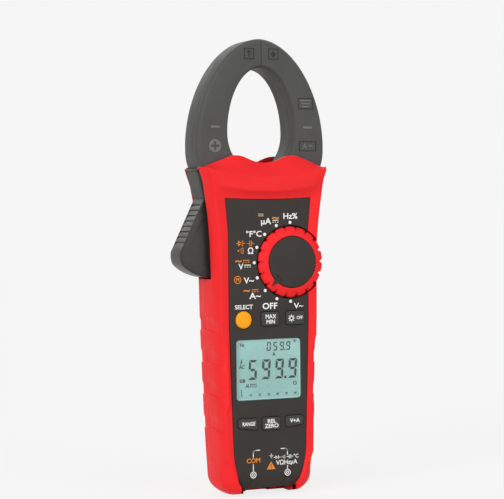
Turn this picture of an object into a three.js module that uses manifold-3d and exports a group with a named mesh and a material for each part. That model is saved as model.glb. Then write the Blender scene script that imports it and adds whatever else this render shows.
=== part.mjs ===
// A hand-held clamp meter, as the separate pieces that it comes apart into.
// Millimetres. +Z runs up the meter, -Y is the front panel's side, +X is the viewer's right.
// While it is modelled, x = 0 is the case's centre line, y = 0 is near the case seam and z = 0 is the
// bottom. The finished meter is then moved so that the origin is under the middle of its box.

import * as THREE from 'three';
import { mergeVertices } from 'three/addons/utils/BufferGeometryUtils.js';
import Module from 'manifold-3d';

const wasm = await Module();
wasm.setup();

// ---------------------------------------------------------------- driving dimensions

const GAP = 0.3;                 // clearance between neighbouring pieces
const WALL = 2;                  // case wall
const SEAM_Y = 2;                // where the two case shells meet
const PANEL_Y = -18;             // front panel's face
const BACK_Y = 20;               // rear case's face
const SHOULDER_Y = -12;          // where the case's side turns towards the front
const RECESS_TOP = 4.3;          // height of the terminal end between the case's two feet

const JAW_FRONT = -10;
const JAW_BACK = 12.5;
const JAW_PARTING = -3;
const JAW_CENTRE_Z = 208;        // widest height of the jaw's outline
const WINDOW_CENTRE_Z = 216;     // widest height of the jaw's opening
const PIVOT = { x: -27, z: 178 };
const TRIGGER_SWEEP = 49.3;      // radius of the case's cut-out round the pivot

const KNOB = { x: 14.2, z: 138.8, well: 22, outer: 21.1, cap: 15.2, lobes: 18 };
const POINTER_ANGLE = 225;       // degrees from +X towards +Z, where the pointer rests
const SOCKET = { x: 11.2, y: 0, bore: 5, z0: 4.3, z1: 28 };
const DISPLAY = { half: 21.15, z0: 57.2, z1: 93.2, corner: 2 };
const CELL = { r: 5.2, length: 44.5, pitch: 11, y: 11.3, z0: 40.7 };
const COVER = { half: 19.6, z0: 30.5, z1: 101 };
const CASE_SCREWS = [[-21.7, 20], [21.7, 20], [-22.5, 118], [22.5, 118]];
const COVER_SCREWS = [[-12, 96.2], [12, 96.2]];
const JAW_SCREWS = [[25, 173.5], [29.5, 181.5]];
const TRIGGER_NOSE_X = -51.9;
const CORNER_X = 42.3;           // half-width across the case's upper corners
const KNOB_FACE_Y = -21.5;

// half-widths of the case against height: at the seam, at the shoulder and at the frame's front edge
const SEAM_WIDTH = [[15, 29.6], [46, 31], [72, 32], [101, 33], [125, 33.5], [150, 34.3], [168, 35.5],
  [176, 37], [184, 38.6], [191.5, 41], [195, 42]];
const SHOULDER_WIDTH = [[15, 29.5], [45, 31], [75, 32.3], [105, 33.2], [150, 34.6], [168, 36],
  [176, 37.4], [182.3, 38.8], [187.7, 40.9], [195, CORNER_X]];
const FRAME_WIDTH = [[15, 28.1], [45, 28.7], [75, 30.4], [105, 31.1], [150, 31.1], [162, 32.4],
  [176, 34.5], [184, 36.2], [188.7, 38], [195, 39.5]];
const PANEL_WIDTH = [[4, 17], [8.6, 19.5], [14, 21], [20, 22.5], [26, 23.4], [40, 23.8], [72, 24.8],
  [105, 25.8], [157, 25.8], [170, 27], [177.2, 27.7]];

// the red winged edge over the jaw: half-width, height and depth of its corners, from the middle out
const WING_EDGE = [[0, 198, -13.5], [6.6, 198.8, -13.5], [11.6, 200.6, -13.5], [17, 202.2, -13.5],
  [21, 202.2, -13.4], [31, 198.5, -12.6], [38.5, 195.6, -12], [CORNER_X, 194, -11.6]];

// ---------------------------------------------------------------- small tools

function lerpTable(table, at) {
  if (at <= table[0][0]) return table[0][1];
  for (let i = 1; i < table.length; i += 1) {
    const [a, va] = table[i - 1];
    const [b, vb] = table[i];
    if (at <= b) return THREE.MathUtils.mapLinear(at, a, b, va, vb);
  }
  return table[table.length - 1][1];
}

function toSolid(geometry) {
  const bare = geometry.clone();
  bare.deleteAttribute('normal');
  bare.deleteAttribute('uv');
  const merged = mergeVertices(bare, 1e-4);
  const triangles = [];
  const index = merged.index.array;
  for (let i = 0; i < index.length; i += 3) {
    const [a, b, c] = [index[i], index[i + 1], index[i + 2]];
    if (a !== b && b !== c && c !== a) triangles.push(a, b, c);
  }
  return new wasm.Manifold(new wasm.Mesh({
    numProp: 3,
    vertProperties: new Float32Array(merged.attributes.position.array),
    triVerts: new Uint32Array(triangles),
  }));
}

function toGeometry(solid) {
  const mesh = solid.getMesh();
  const geometry = new THREE.BufferGeometry();
  geometry.setAttribute('position', new THREE.BufferAttribute(new Float32Array(mesh.vertProperties), 3));
  geometry.setIndex(Array.from(mesh.triVerts));
  geometry.computeVertexNormals();
  return geometry;
}

function signedVolume(points, index) {
  let volume = 0;
  for (let i = 0; i < index.length; i += 3) {
    const [a, b, c] = [points[index[i]], points[index[i + 1]], points[index[i + 2]]];
    volume += a.dot(new THREE.Vector3().crossVectors(b, c));
  }
  return volume;
}

function solidFromFaces(points, index) {
  if (signedVolume(points, index) < 0) index.reverse();
  const geometry = new THREE.BufferGeometry();
  geometry.setFromPoints(points);
  geometry.setIndex(index);
  return toSolid(geometry);
}

// joins closed loops of equal length one after another, and caps both ends
function loft(loops) {
  const count = loops[0].length;
  const points = loops.flat();
  const index = [];
  for (let row = 0; row + 1 < loops.length; row += 1) {
    for (let i = 0; i < count; i += 1) {
      const a = row * count + i;
      const b = row * count + (i + 1) % count;
      index.push(a, b, b + count, a, b + count, a + count);
    }
  }
  const flat = loops[0].map((p) => new THREE.Vector2(p.x, p.z));
  const last = (loops.length - 1) * count;
  const clockwise = THREE.ShapeUtils.isClockWise(flat);
  const order = flat.map((_, i) => (clockwise ? count - 1 - i : i));
  const cap = THREE.ShapeUtils.triangulateShape(order.map((i) => flat[i]), []);
  cap.forEach((face) => {
    const [a, b, c] = face.map((i) => order[i]);
    if (clockwise) {
      index.push(a, b, c, last + a, last + c, last + b);
    } else {
      index.push(a, c, b, last + a, last + b, last + c);
    }
  });
  return solidFromFaces(points, index);
}

// a wall between two open grids of points with the same rows and columns
function gridShell(outer, inner) {
  const rows = outer.length;
  const columns = outer[0].length;
  const points = [...outer.flat(), ...inner.flat()];
  const index = [];
  const at = (side, row, column) => (side * rows + row) * columns + column;
  const quad = (a, b, c, d) => index.push(a, b, c, a, c, d);
  for (let r = 0; r + 1 < rows; r += 1) {
    for (let c = 0; c + 1 < columns; c += 1) {
      quad(at(0, r, c), at(0, r, c + 1), at(0, r + 1, c + 1), at(0, r + 1, c));
      quad(at(1, r, c), at(1, r + 1, c), at(1, r + 1, c + 1), at(1, r, c + 1));
    }
    quad(at(0, r, 0), at(0, r + 1, 0), at(1, r + 1, 0), at(1, r, 0));
    quad(at(0, r + 1, columns - 1), at(0, r, columns - 1), at(1, r, columns - 1), at(1, r + 1, columns - 1));
  }
  for (let c = 0; c + 1 < columns; c += 1) {
    quad(at(0, 0, c + 1), at(0, 0, c), at(1, 0, c), at(1, 0, c + 1));
    quad(at(0, rows - 1, c), at(0, rows - 1, c + 1), at(1, rows - 1, c + 1), at(1, rows - 1, c));
  }
  return solidFromFaces(points, index);
}

function box(x0, x1, y0, y1, z0, z1) {
  const geometry = new THREE.BoxGeometry(x1 - x0, y1 - y0, z1 - z0);
  geometry.translate((x0 + x1) / 2, (y0 + y1) / 2, (z0 + z1) / 2);
  return toSolid(geometry);
}

// a cylinder whose axis runs along Y
function post(x, z, radius, y0, y1, sides = 20) {
  const geometry = new THREE.CylinderGeometry(radius, radius, y1 - y0, sides);
  geometry.translate(x, (y0 + y1) / 2, z);
  return toSolid(geometry);
}

// a front-view outline made solid from y0 to y1
function prism(shape, y0, y1, curveSegments = 3) {
  const geometry = new THREE.ExtrudeGeometry(shape, { depth: y1 - y0, bevelEnabled: false, curveSegments });
  geometry.rotateX(Math.PI / 2);
  geometry.translate(0, y1, 0);
  return toSolid(geometry);
}

function polygon(points) {
  return new THREE.Shape(points.map(([x, z]) => new THREE.Vector2(x, z)));
}

// a polygon with its corners rounded off
function softPolygon(points, radius) {
  const shape = new THREE.Shape();
  const corners = points.map(([x, z]) => new THREE.Vector2(x, z));
  corners.forEach((corner, i) => {
    const before = corners[(i + corners.length - 1) % corners.length];
    const after = corners[(i + 1) % corners.length];
    const start = corner.clone().add(before.clone().sub(corner).setLength(radius));
    const end = corner.clone().add(after.clone().sub(corner).setLength(radius));
    if (i === 0) shape.moveTo(start.x, start.y);
    else shape.lineTo(start.x, start.y);
    shape.quadraticCurveTo(corner.x, corner.y, end.x, end.y);
  });
  shape.closePath();
  return shape;
}

function softRectangle(x0, x1, z0, z1, radius) {
  return softPolygon([[x0, z0], [x1, z0], [x1, z1], [x0, z1]], radius);
}

// an outline turned about the Y axis at (x, z): each profile point is [radius, y]
function turned(profile, x, z, sides = 32) {
  const points = profile.map(([radius, y]) => new THREE.Vector2(radius, y));
  const geometry = new THREE.LatheGeometry(points, sides);
  geometry.translate(x, 0, z);
  return orient(geometry);
}

// the same about the Z axis at (x, y): each profile point is [radius, z]
function turnedUpright(profile, x, y, sides = 24) {
  const points = profile.map(([radius, height]) => new THREE.Vector2(radius, height));
  const geometry = new THREE.LatheGeometry(points, sides);
  geometry.rotateX(Math.PI / 2);
  geometry.translate(x, y, 0);
  return orient(geometry);
}

function orient(geometry) {
  const bare = geometry.clone();
  bare.deleteAttribute('normal');
  bare.deleteAttribute('uv');
  const merged = mergeVertices(bare, 1e-4);
  const position = merged.attributes.position;
  const points = [];
  for (let i = 0; i < position.count; i += 1) {
    points.push(new THREE.Vector3().fromBufferAttribute(position, i));
  }
  return solidFromFaces(points, Array.from(merged.index.array));
}

const union = (...solids) => solids.reduce((sum, solid) => sum.add(solid));
const cut = (base, ...tools) => tools.reduce((rest, tool) => rest.subtract(tool), base);

// ---------------------------------------------------------------- finishes

const finish = (color, roughness, metalness = 0) => ({ color, roughness, metalness });
const RED = finish(0xe8282e, 0.5);
const PANEL_DARK = finish(0x37342f, 0.55);
const JAW_GREY = finish(0x4c4c4a, 0.55);
const TRIGGER_BLACK = finish(0x2c2b28, 0.45);
const BUTTON_GREY = finish(0x3d3c3a, 0.6);
const YELLOW = finish(0xf6a21c, 0.5);
const LENS = finish(0xdfe8e6, 0.1);
const LCD_TEAL = finish(0xa2cdc7, 0.3);
const DIFFUSER = finish(0xf2f2ec, 0.5);
const BOARD = finish(0x1f5a38, 0.5);
const SILICONE = finish(0xb9b9b4, 0.7);
const NYLON = finish(0xe6e2d6, 0.5);
const STEEL = finish(0xb4b6b8, 0.35, 1);
const BRASS = finish(0xc9a24a, 0.3, 1);
const CORE = finish(0x77716a, 0.5, 1);
const CELL_JACKET = finish(0x27507c, 0.35);
const TRAY_DARK = finish(0x2a2a2a, 0.6);
const SEAL = finish(0x1c1c1c, 0.8);

const meter = new THREE.Group();

function part(name, solid, look) {
  const mesh = new THREE.Mesh(toGeometry(solid), new THREE.MeshStandardMaterial(look));
  mesh.name = name;
  meter.add(mesh);
}

// ---------------------------------------------------------------- case shells

const FOOT_ROWS = [0, 0.7, 2.6, 5.4, 9.2];
const FOOT_HEIGHT = 13;
const FRONT_FOOT_LIFT = 2.1;     // the feet's front edges stop this far above the bottom

// near the bottom, widths shrink along a quarter ellipse
function footScale(z) {
  const rise = Math.max(0, 1 - z / 11);
  return 0.612 + 0.388 * Math.sqrt(1 - rise * rise);
}

function widthsAt(z, scale = footScale(z)) {
  return {
    seam: lerpTable(SEAM_WIDTH, z) * scale,
    shoulder: lerpTable(SHOULDER_WIDTH, z) * scale,
    frame: lerpTable(FRAME_WIDTH, z) * scale,
  };
}

// the inner side's rows rise from the bottom wall until they meet the outer side's heights
const innerHeight = (z, inset) => (z < FOOT_HEIGHT ? inset + z * (1 - inset / FOOT_HEIGHT) : z);

const FACE_COLUMNS = [31, 21, 17, 11.6, 6.6, 0];

// one row of the front shell, from the left seam to the right one
function frontRow(height, { lift = 0, faceY = PANEL_Y, inset = 0, scale } = {}) {
  const { seam, shoulder, frame } = widthsAt(height, scale);
  const z = innerHeight(height, inset);
  const footLift = FRONT_FOOT_LIFT * Math.max(0, 1 - height / FOOT_HEIGHT);
  const edge = frame - inset * 0.6;
  const edgeLift = lift * (frame / 36) ** 2;
  const edgeSetback = faceY < PANEL_Y ? 1.2 : 0;
  const half = [
    [seam - inset, SEAM_Y - GAP / 2, z + edgeLift],
    [shoulder - inset, SHOULDER_Y, z + edgeLift],
    [edge, faceY + inset + edgeSetback, z + edgeLift + footLift],
  ];
  FACE_COLUMNS.forEach((x) => {
    const place = x / 31 * Math.min(edge - 1.5, 31);
    half.push([place, faceY + inset, z + footLift + lift * (place / 36) ** 2]);
  });
  return mirrorRow(half);
}

function mirrorRow(half) {
  const left = half.map(([x, y, z]) => new THREE.Vector3(-x, y, z));
  const right = half.slice(0, -1).reverse().map(([x, y, z]) => new THREE.Vector3(x, y, z));
  return [...left, ...right];
}

// the winged top edge: its depth is moved by the wall when it is the inner side
function wingRow(inset, seamY, edgeY) {
  const corner = WING_EDGE[WING_EDGE.length - 1];
  const outer = WING_EDGE[WING_EDGE.length - 2];
  const half = [];
  half.push([corner[0] - 0.3 - inset, seamY, corner[1]]);
  half.push([corner[0] - inset, edgeY(corner, inset), corner[1]]);
  half.push([outer[0] - inset * 0.5, edgeY(outer, inset), outer[1]]);
  WING_EDGE.slice(0, -2).reverse().forEach((point) => half.push([point[0], edgeY(point, inset), point[1]]));
  return mirrorRow(half);
}

function frontShellSkin(inset) {
  const edgeY = (point, wall) => Math.min(point[2] + wall, -10.4);
  const rows = [frontRow(0, { inset, scale: 0.4 })];
  [...FOOT_ROWS, 15, 45, 75, 105, 128, 150, 162, 170].forEach((z) => rows.push(frontRow(z, { inset })));
  rows.push(frontRow(176.1, { inset, lift: 1 }));
  rows.push(frontRow(178.8, { inset, lift: 2.4, faceY: -18.9 }));
  rows.push(frontRow(181.2, { inset, lift: 4.2, faceY: -21.2 }));
  rows.push(frontRow(189, { inset, lift: 4.4, faceY: -20.5 }));
  rows.push(wingRow(inset, SEAM_Y - GAP / 2, edgeY));
  return rows;
}

const REAR_SECTION = [[0, SEAM_Y + GAP / 2], [0.6, 7], [1.5, 10.5], [2.7, 14], [5, 17.5], [8.5, 19.6]];
const REAR_FACE_COLUMNS = [21, 17, 11.6, 6.6, 0];

function rearRow(height, inset, depth, scale) {
  const { seam } = widthsAt(height, scale);
  const z = innerHeight(height, inset);
  const half = REAR_SECTION.map(([inward, y]) => {
    const reach = (y - SEAM_Y) / (BACK_Y - SEAM_Y);
    return [seam - inward - inset, SEAM_Y + GAP / 2 + (depth - SEAM_Y - inset) * reach, z];
  });
  half[0][1] = SEAM_Y + GAP / 2;
  const last = half[half.length - 1][0];
  REAR_FACE_COLUMNS.forEach((x) => half.push([x / 21 * Math.min(last - 1, 21), depth - inset, z]));
  return mirrorRow(half);
}

function rearWingRow(inset, depth) {
  const heights = WING_EDGE.map(([x, z]) => [x, z]);
  const seam = CORNER_X - 0.3 - inset;
  const half = [[seam, SEAM_Y + GAP / 2], [seam, 7], [seam - 0.3, 10.5], [seam - 1.2, 13 + (inset ? -0.2 : 0)],
    [35, depth - 1], [31, depth]].map(([x, y]) => [x, y - (inset && y > 10.4 ? inset * 0.4 : 0), lerpTable(heights, x)]);
  REAR_FACE_COLUMNS.forEach((x) => half.push([x, depth - inset, lerpTable(heights, x)]));
  return mirrorRow(half);
}

// the rear shell's depth at each height
const REAR_DEPTH = [[0, 7.5], [0.7, 9.5], [2.6, 12], [5.4, 14.5], [9.2, 16.8], [15, 18.3], [28, 19.6],
  [45, BACK_Y], [75, BACK_Y], [105, BACK_Y], [128, BACK_Y], [150, BACK_Y], [168, BACK_Y], [176, BACK_Y],
  [184, BACK_Y - 0.3], [190, BACK_Y - 1.2]];

function rearShellSkin(inset) {
  const rows = REAR_DEPTH.map(([z, depth]) => rearRow(z, inset, depth));
  rows.unshift(rearRow(0, inset, 5.5, 0.45));
  rows.push(rearWingRow(inset, 15.4));
  return rows;
}

// the space that the moving jaw's arm and the trigger sweep on the left of the case
function sweepCut() {
  const shape = new THREE.Shape();
  shape.moveTo(-90, 210);
  shape.absarc(PIVOT.x, PIVOT.z, TRIGGER_SWEEP, Math.PI, Math.PI * 1.62, false);
  shape.lineTo(-6.9, 150);
  shape.lineTo(-20, 176);
  shape.lineTo(-20, 210);
  return prism(shape, JAW_FRONT - 0.4, JAW_BACK + 0.5, 14);
}

// room for the fixed jaw's outer wall between the two shells
function jawRoom() {
  return loft([JAW_FRONT - 0.4, JAW_BACK + 0.5].map((y) => ovalLoop(JAW_OUTSIDE, 2 + GAP, y, 44)));
}

function frameWindow(gap, y0, y1) {
  const right = PANEL_WIDTH.map(([z, half]) => [half + gap, z]);
  const left = [...right].reverse().map(([x, z]) => [-x, z]);
  const middle = [[0, 176.1 + gap]];
  right[right.length - 1][1] += gap;
  left[0][1] += gap;
  right[0][1] -= gap + 4;
  left[left.length - 1][1] -= gap + 4;
  return prism(polygon([...right, ...middle, ...left]), y0, y1);
}

function frontCase() {
  let shell = gridShell(frontShellSkin(0), frontShellSkin(WALL));
  const well = post(KNOB.x, KNOB.z, 24, -14.7, -12.7, 40);
  const wellFloor = well.intersect(box(-40, 33.4, -20, 0, 100, 170));
  const bosses = CASE_SCREWS.map(([x, z]) => post(x, z, 4, -16.2, SEAM_Y - GAP / 2, 14));
  const pinBoss = post(PIVOT.x, PIVOT.z, 5, -16.6, JAW_FRONT - 0.5, 16);
  const pinRib = box(PIVOT.x - 1.5, PIVOT.x + 1.5, -17.5, JAW_FRONT - 1.5, PIVOT.z - 7, PIVOT.z + 7);
  shell = union(shell, wellFloor, pinBoss, pinRib, ...bosses);
  const holes = CASE_SCREWS.map(([x, z]) => post(x, z, 1.8, -13, 10, 12));
  const pinHole = post(PIVOT.x, PIVOT.z, 2.5 + GAP, -15, 0, 16);
  return cut(
    shell,
    frameWindow(GAP, -40, -15.2),
    post(KNOB.x, KNOB.z, KNOB.well, -40, -14.7, 40),
    post(KNOB.x, KNOB.z, 8, -20, 0, 20),
    box(-16.8, 16.8, -40, 20, -5, RECESS_TOP),
    sweepCut(),
    jawRoom(),
    pinHole,
    ...holes,
  );
}

function rearCase() {
  let shell = gridShell(rearShellSkin(0), rearShellSkin(WALL));
  const bed = box(-22, 22, 15.5, 18.4, 28, 103);
  const endWall = box(-23, 23, SOCKET.y + 7.6, 12.4, RECESS_TOP, RECESS_TOP + 2.2);
  const bosses = CASE_SCREWS.map(([x, z]) => post(x, z, 4, SEAM_Y + GAP / 2, 18.3, 14));
  const coverPosts = COVER_SCREWS.map(([x, z]) => post(x, z, 3.2, 7, 16, 12));
  const pinBoss = post(PIVOT.x, PIVOT.z, 5, JAW_BACK + 0.5, 18.4, 16);
  const jawPosts = JAW_SCREWS.map(([x, z]) => post(x, z, 3.5, 11.4, 18.4, 14));
  const springSeat = box(-6.8, -5, 0, 18.4, 144, 156);
  shell = union(shell, bed, endWall, pinBoss, springSeat, ...bosses, ...coverPosts, ...jawPosts);
  const recess = prism(softRectangle(-COVER.half - GAP, COVER.half + GAP, COVER.z0 - GAP, COVER.z1 + GAP, 3), 17.4, 40);
  const mouth = box(-17.2, 17.2, 10, 40, 36.2, 90);
  const screwHoles = CASE_SCREWS.map(([x, z]) => union(post(x, z, 1.8, 0, 40, 12), post(x, z, 3.3, 14.6, 40, 16)));
  const coverHoles = COVER_SCREWS.map(([x, z]) => post(x, z, 1.8, 9, 40, 12));
  const jawHoles = JAW_SCREWS.map(([x, z]) => post(x, z, 1.6, 5, 16.8, 12));
  return cut(
    shell,
    recess,
    mouth,
    box(-16.8, 16.8, -20, 40, -5, RECESS_TOP),
    sweepCut(),
    jawRoom(),
    post(PIVOT.x, PIVOT.z, 2.5 + GAP, 0, 16.6, 16),
    ...screwHoles,
    ...coverHoles,
    ...jawHoles,
  );
}

// ---------------------------------------------------------------- front panel and what shows through it

const BUTTONS = {
  range_button: [[-20.8, 41.3], [-8.6, 39.6], [-8.6, 46.7], [-20.8, 46.7]],
  zero_button: [[-5.2, 39.3], [6.4, 39.3], [6.4, 46.8], [-5.2, 46.8]],
  inrush_button: [[10, 40.3], [21.5, 41.4], [21.5, 46.9], [10, 46.9]],
  max_min_button: [[-5.2, 101.2], [6.2, 101.2], [6.2, 109.4], [-5.2, 109.4]],
  light_button: [[10.9, 101.4], [22.8, 101.4], [22.8, 109.5], [10.9, 109.5]],
};
const SELECT = { x: -16.5, z: 105.15, r: 5.2 };

function grown(points, by) {
  const cx = points.reduce((sum, p) => sum + p[0], 0) / points.length;
  const cz = points.reduce((sum, p) => sum + p[1], 0) / points.length;
  return points.map(([x, z]) => [x + Math.sign(x - cx) * by, z + Math.sign(z - cz) * by]);
}

// the panel's face bends back over the terminal end
function panelDepth(z) {
  const bendStart = 15;
  if (z >= bendStart) return PANEL_Y;
  return PANEL_Y + 5 * ((bendStart - z) / (bendStart - 4)) ** 2;
}

function panelSkin(inset) {
  const heights = [4.3, 5.8, 8, 10.5, 14, 20, 26, 40, 72, 105, 157, 170, 177.2];
  return heights.map((z) => {
    const half = lerpTable(PANEL_WIDTH, z);
    const top = z > 177;
    return [-1, -0.6, 0, 0.6, 1].map((k) => {
      const dip = top ? (1 - k * k) * 1.1 : 0;
      return new THREE.Vector3(half * k, panelDepth(z) + inset, z - dip);
    });
  });
}

function frontPanel() {
  const plate = gridShell(panelSkin(0), panelSkin(2.5));
  const { half, z0, z1, corner } = DISPLAY;
  const keyHoles = Object.values(BUTTONS).map((outline) => prism(softPolygon(grown(outline, 0.35), 1.2), -30, 0, 2));
  return cut(
    plate,
    post(KNOB.x, KNOB.z, KNOB.well, -30, 0, 40),
    prism(softRectangle(-half - GAP, half + GAP, z0 - GAP, z1 + GAP, corner), -30, 0),
    post(SELECT.x, SELECT.z, SELECT.r + 0.35, -30, 0, 24),
    box(-6.8, -2.7, -30, 0, 165.7, 168.3),
    ...keyHoles,
  );
}

function addPanelGroup() {
  part('front_panel', frontPanel(), PANEL_DARK);
  const { half, z0, z1, corner } = DISPLAY;
  part('display_window', prism(softRectangle(-half, half, z0, z1, corner), -17.8, -16.6), LENS);
  part('display_module', box(-23.6, 23.6, -15.1, -13.2, 54.4, 96), LCD_TEAL);
  part('display_backlight', box(-23.6, 23.6, -12.9, -10.8, 54.4, 96), DIFFUSER);
  part('indicator_window', box(-6.5, -3, -17.95, -15.6, 166, 168), NYLON);
  Object.entries(BUTTONS).forEach(([name, outline]) => {
    const cap = prism(softPolygon(outline, 1.2), -19, -14.4, 2);
    const flange = prism(softPolygon(grown(outline, 1.1), 1.2), -15.2, -14.4, 2);
    part(name, union(cap, flange), BUTTON_GREY);
  });
  const round = [[0, -19.1], [3.6, -19.1], [4.9, -18.5], [SELECT.r, -17.9], [SELECT.r, -15.2], [6.3, -15.2],
    [6.3, -14.4], [0, -14.4]];
  part('select_button', turned(round, SELECT.x, SELECT.z, 24), YELLOW);
  part('keypad_mat_upper', box(-22.5, 23.8, -13.1, -10.9, 99.2, 112), SILICONE);
  part('keypad_mat_lower', box(-22.5, 23.4, -13.1, -10.9, 36.5, 49.6), SILICONE);
}

// ---------------------------------------------------------------- range switch

function knobRing() {
  const steps = 6;
  const rim = [];
  for (let i = 0; i < KNOB.lobes * steps; i += 1) {
    const turn = i / (KNOB.lobes * steps) * Math.PI * 2;
    const inNotch = i % steps === 0;
    const radius = KNOB.outer - (inNotch ? 1.5 : 0);
    rim.push([KNOB.x + radius * Math.cos(turn), KNOB.z + radius * Math.sin(turn)]);
  }
  const shape = polygon(rim);
  const hole = new THREE.Path();
  hole.absarc(KNOB.x, KNOB.z, KNOB.cap + GAP, 0, Math.PI * 2, true);
  shape.holes.push(hole);
  const blank = prism(shape, -20.6, -15.1, 18);
  const dome = turned([[0, -24], [15.6, -21.2], [17.6, -20.6], [19.6, -19.9], [21.2, -18.6], [21.2, -17],
    [20.2, -15], [0, -15]], KNOB.x, KNOB.z, 36);
  return blank.intersect(dome);
}

function knobCap() {
  const disc = turned([[0, KNOB_FACE_Y], [14.6, KNOB_FACE_Y], [KNOB.cap, -20.9], [KNOB.cap, -15.9], [0, -15.9]],
    KNOB.x, KNOB.z, 36);
  const turn = THREE.MathUtils.degToRad(POINTER_ANGLE);
  const along = [Math.cos(turn), Math.sin(turn)];
  const corner = (reach, side) => [KNOB.x + along[0] * reach - along[1] * side,
    KNOB.z + along[1] * reach + along[0] * side];
  const notch = prism(polygon([corner(11.3, -4), corner(15.9, 0), corner(11.3, 4)]), -30, KNOB_FACE_Y + 0.7);
  return disc.subtract(notch);
}

function addRangeSwitch() {
  part('knob_ring', knobRing(), RED);
  part('knob_cap', knobCap(), PANEL_DARK);
  const rotor = [[0, -15.6], [7.4, -15.6], [7.4, -12.4], [14, -12.4], [14, -10.9], [0, -10.9]];
  part('switch_rotor', turned(rotor, KNOB.x, KNOB.z, 24), NYLON);
  const wiper = [[4, -10.6], [12, -10.6], [12, -10.1], [4, -10.1], [4, -10.6]];
  part('switch_wiper', turned(wiper, KNOB.x, KNOB.z, 20), BRASS);
}

// ---------------------------------------------------------------- inside

function addBoard() {
  const plate = box(-26.5, 26.5, -9.7, -8.1, 34, 168);
  const holes = CASE_SCREWS.map(([x, z]) => post(x, z, 4.4, -20, 0, 14));
  part('main_board', cut(plate, ...holes), BOARD);
  part('buzzer', post(4, 113, 6, -7.8, -3.5, 20), TRAY_DARK);
}

function addTerminals() {
  const { x, y, bore, z0, z1 } = SOCKET;
  const sides = [-x, x];
  const upright = (cx, radius, low, high, count) => turnedUpright(
    [[0, low], [radius, low], [radius, high], [0, high]], cx, y, count,
  );
  const bores = sides.map((cx) => union(upright(cx, bore, 0, 24, 24), upright(cx, 3.4, 20, 40, 18)));
  part('terminal_block', cut(box(-17.4, 17.4, -10.4, 7.3, z0, z1), ...bores), TRAY_DARK);
  ['common_contact', 'input_contact'].forEach((name, i) => {
    const tube = [[2.05, 10.8], [3, 10.8], [3, 28.4], [4.4, 28.4], [4.4, 30], [3, 30], [3, 33], [0, 33],
      [0, 31.4], [2.05, 31.4], [2.05, 10.8]];
    part(name, turnedUpright(tube, sides[i], y, 18), BRASS);
  });
}

function addBattery() {
  const tray = box(-18.6, 18.6, 4.4, 15.2, 34.6, 91.6).subtract(box(-17, 17, 5.8, 30, 36.2, 90));
  part('battery_tray', tray, TRAY_DARK);
  for (let i = 0; i < 3; i += 1) {
    const x = (i - 1) * CELL.pitch;
    const { r, length, y, z0 } = CELL;
    const top = z0 + length;
    const cell = [[0, z0], [r, z0], [r, top - 1], [1.9, top - 1], [1.9, top], [0, top]];
    part(`battery_${i + 1}`, turnedUpright(cell, x, y, 20), CELL_JACKET);
  }
  part('battery_contact_upper', box(-16.4, 16.4, 6.6, 15, 88.6, 89.4), STEEL);
  part('battery_contact_lower', box(-16.4, 16.4, 6.6, 15, 37, 37.8), STEEL);
  const lid = prism(softRectangle(-COVER.half, COVER.half, COVER.z0, COVER.z1, 3), 17.7, BACK_Y);
  const screwSeats = COVER_SCREWS.map(([x, z]) => union(post(x, z, 1.8, 10, 30, 12), post(x, z, 3, 18.9, 30, 14)));
  part('battery_cover', cut(lid, ...screwSeats), RED);
  COVER_SCREWS.forEach(([x, z], i) => {
    const screw = [[0, 19.9], [2.6, 19.9], [2.6, 19.1], [1.4, 19.1], [1.4, 10], [0, 10]];
    part(`cover_screw_${i + 1}`, turned(screw, x, z, 12), STEEL);
  });
}

function addFasteners() {
  CASE_SCREWS.forEach(([x, z], i) => {
    const screw = [[0, 17], [2.9, 17], [2.9, 14.9], [1.5, 14.9], [1.5, -11], [0, -11]];
    part(`case_screw_${i + 1}`, turned(screw, x, z, 12), STEEL);
  });
  JAW_SCREWS.forEach(([x, z], i) => {
    const screw = [[0, 0.4], [2.5, 0.4], [2.5, 2.2], [1.3, 2.2], [1.3, 15.6], [0, 15.6]];
    part(`jaw_screw_${i + 1}`, turned(screw, x, z, 12), STEEL);
  });
  part('jaw_pivot_pin', post(PIVOT.x, PIVOT.z, 2.5, -14.7, 16.2, 16), STEEL);
}

// a seal strip lies against the inside of the seam on each side, up to the trigger's cut-out
function addSeals() {
  const heights = [16, 46, 72, 101, 125];
  const edge = (inset) => heights.map((z) => [lerpTable(SEAM_WIDTH, z) * footScale(z) - inset, z]);
  const outline = [...edge(WALL + 0.6), ...edge(WALL + 1.5).reverse()];
  part('case_seal_left', prism(polygon(outline.map(([x, z]) => [-x, z])), -0.5, 4.5), SEAL);
  part('case_seal_right', prism(polygon(outline), -0.5, 4.5), SEAL);
}

// ---------------------------------------------------------------- jaw

// an oval whose upper and lower halves differ, with its points in order round it
function oval({ a, centre, up, down, power, lowPower }, grow, count) {
  const points = [];
  for (let i = 0; i < count; i += 1) {
    const turn = (i + 0.5) / count * Math.PI * 2;
    const [c, s] = [Math.cos(turn), Math.sin(turn)];
    const p = s >= 0 ? power : lowPower;
    const tall = (s >= 0 ? up : down) + grow;
    points.push([Math.sign(c) * (a + grow) * Math.abs(c) ** (2 / p), centre + Math.sign(s) * tall * Math.abs(s) ** (2 / p)]);
  }
  return points;
}

const JAW_OUTSIDE = { a: 39.8, centre: JAW_CENTRE_Z, up: 62, down: 27, power: 1.87, lowPower: 2.6 };
const JAW_WINDOW = { a: 22.8, centre: WINDOW_CENTRE_Z, up: 40, down: 24.5, power: 1.95, lowPower: 2.1 };

const ovalLoop = (law, grow, y, count) => oval(law, grow, count).map(([x, z]) => new THREE.Vector3(x, y, z));

function jawRing() {
  const outside = loft([[0, JAW_FRONT], [2, -7.5], [2, 9], [-0.2, JAW_BACK]].map(([grow, y]) => (
    ovalLoop(JAW_OUTSIDE, grow, y, 44))));
  const window = loft([[0.6, JAW_FRONT - 1], [0, JAW_FRONT], [-1.3, -8], [-1.3, 10], [0.2, JAW_BACK],
    [0.8, JAW_BACK + 1]].map(([grow, y]) => ovalLoop(JAW_WINDOW, grow, y, 36)));
  return outside.subtract(window);
}

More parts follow.
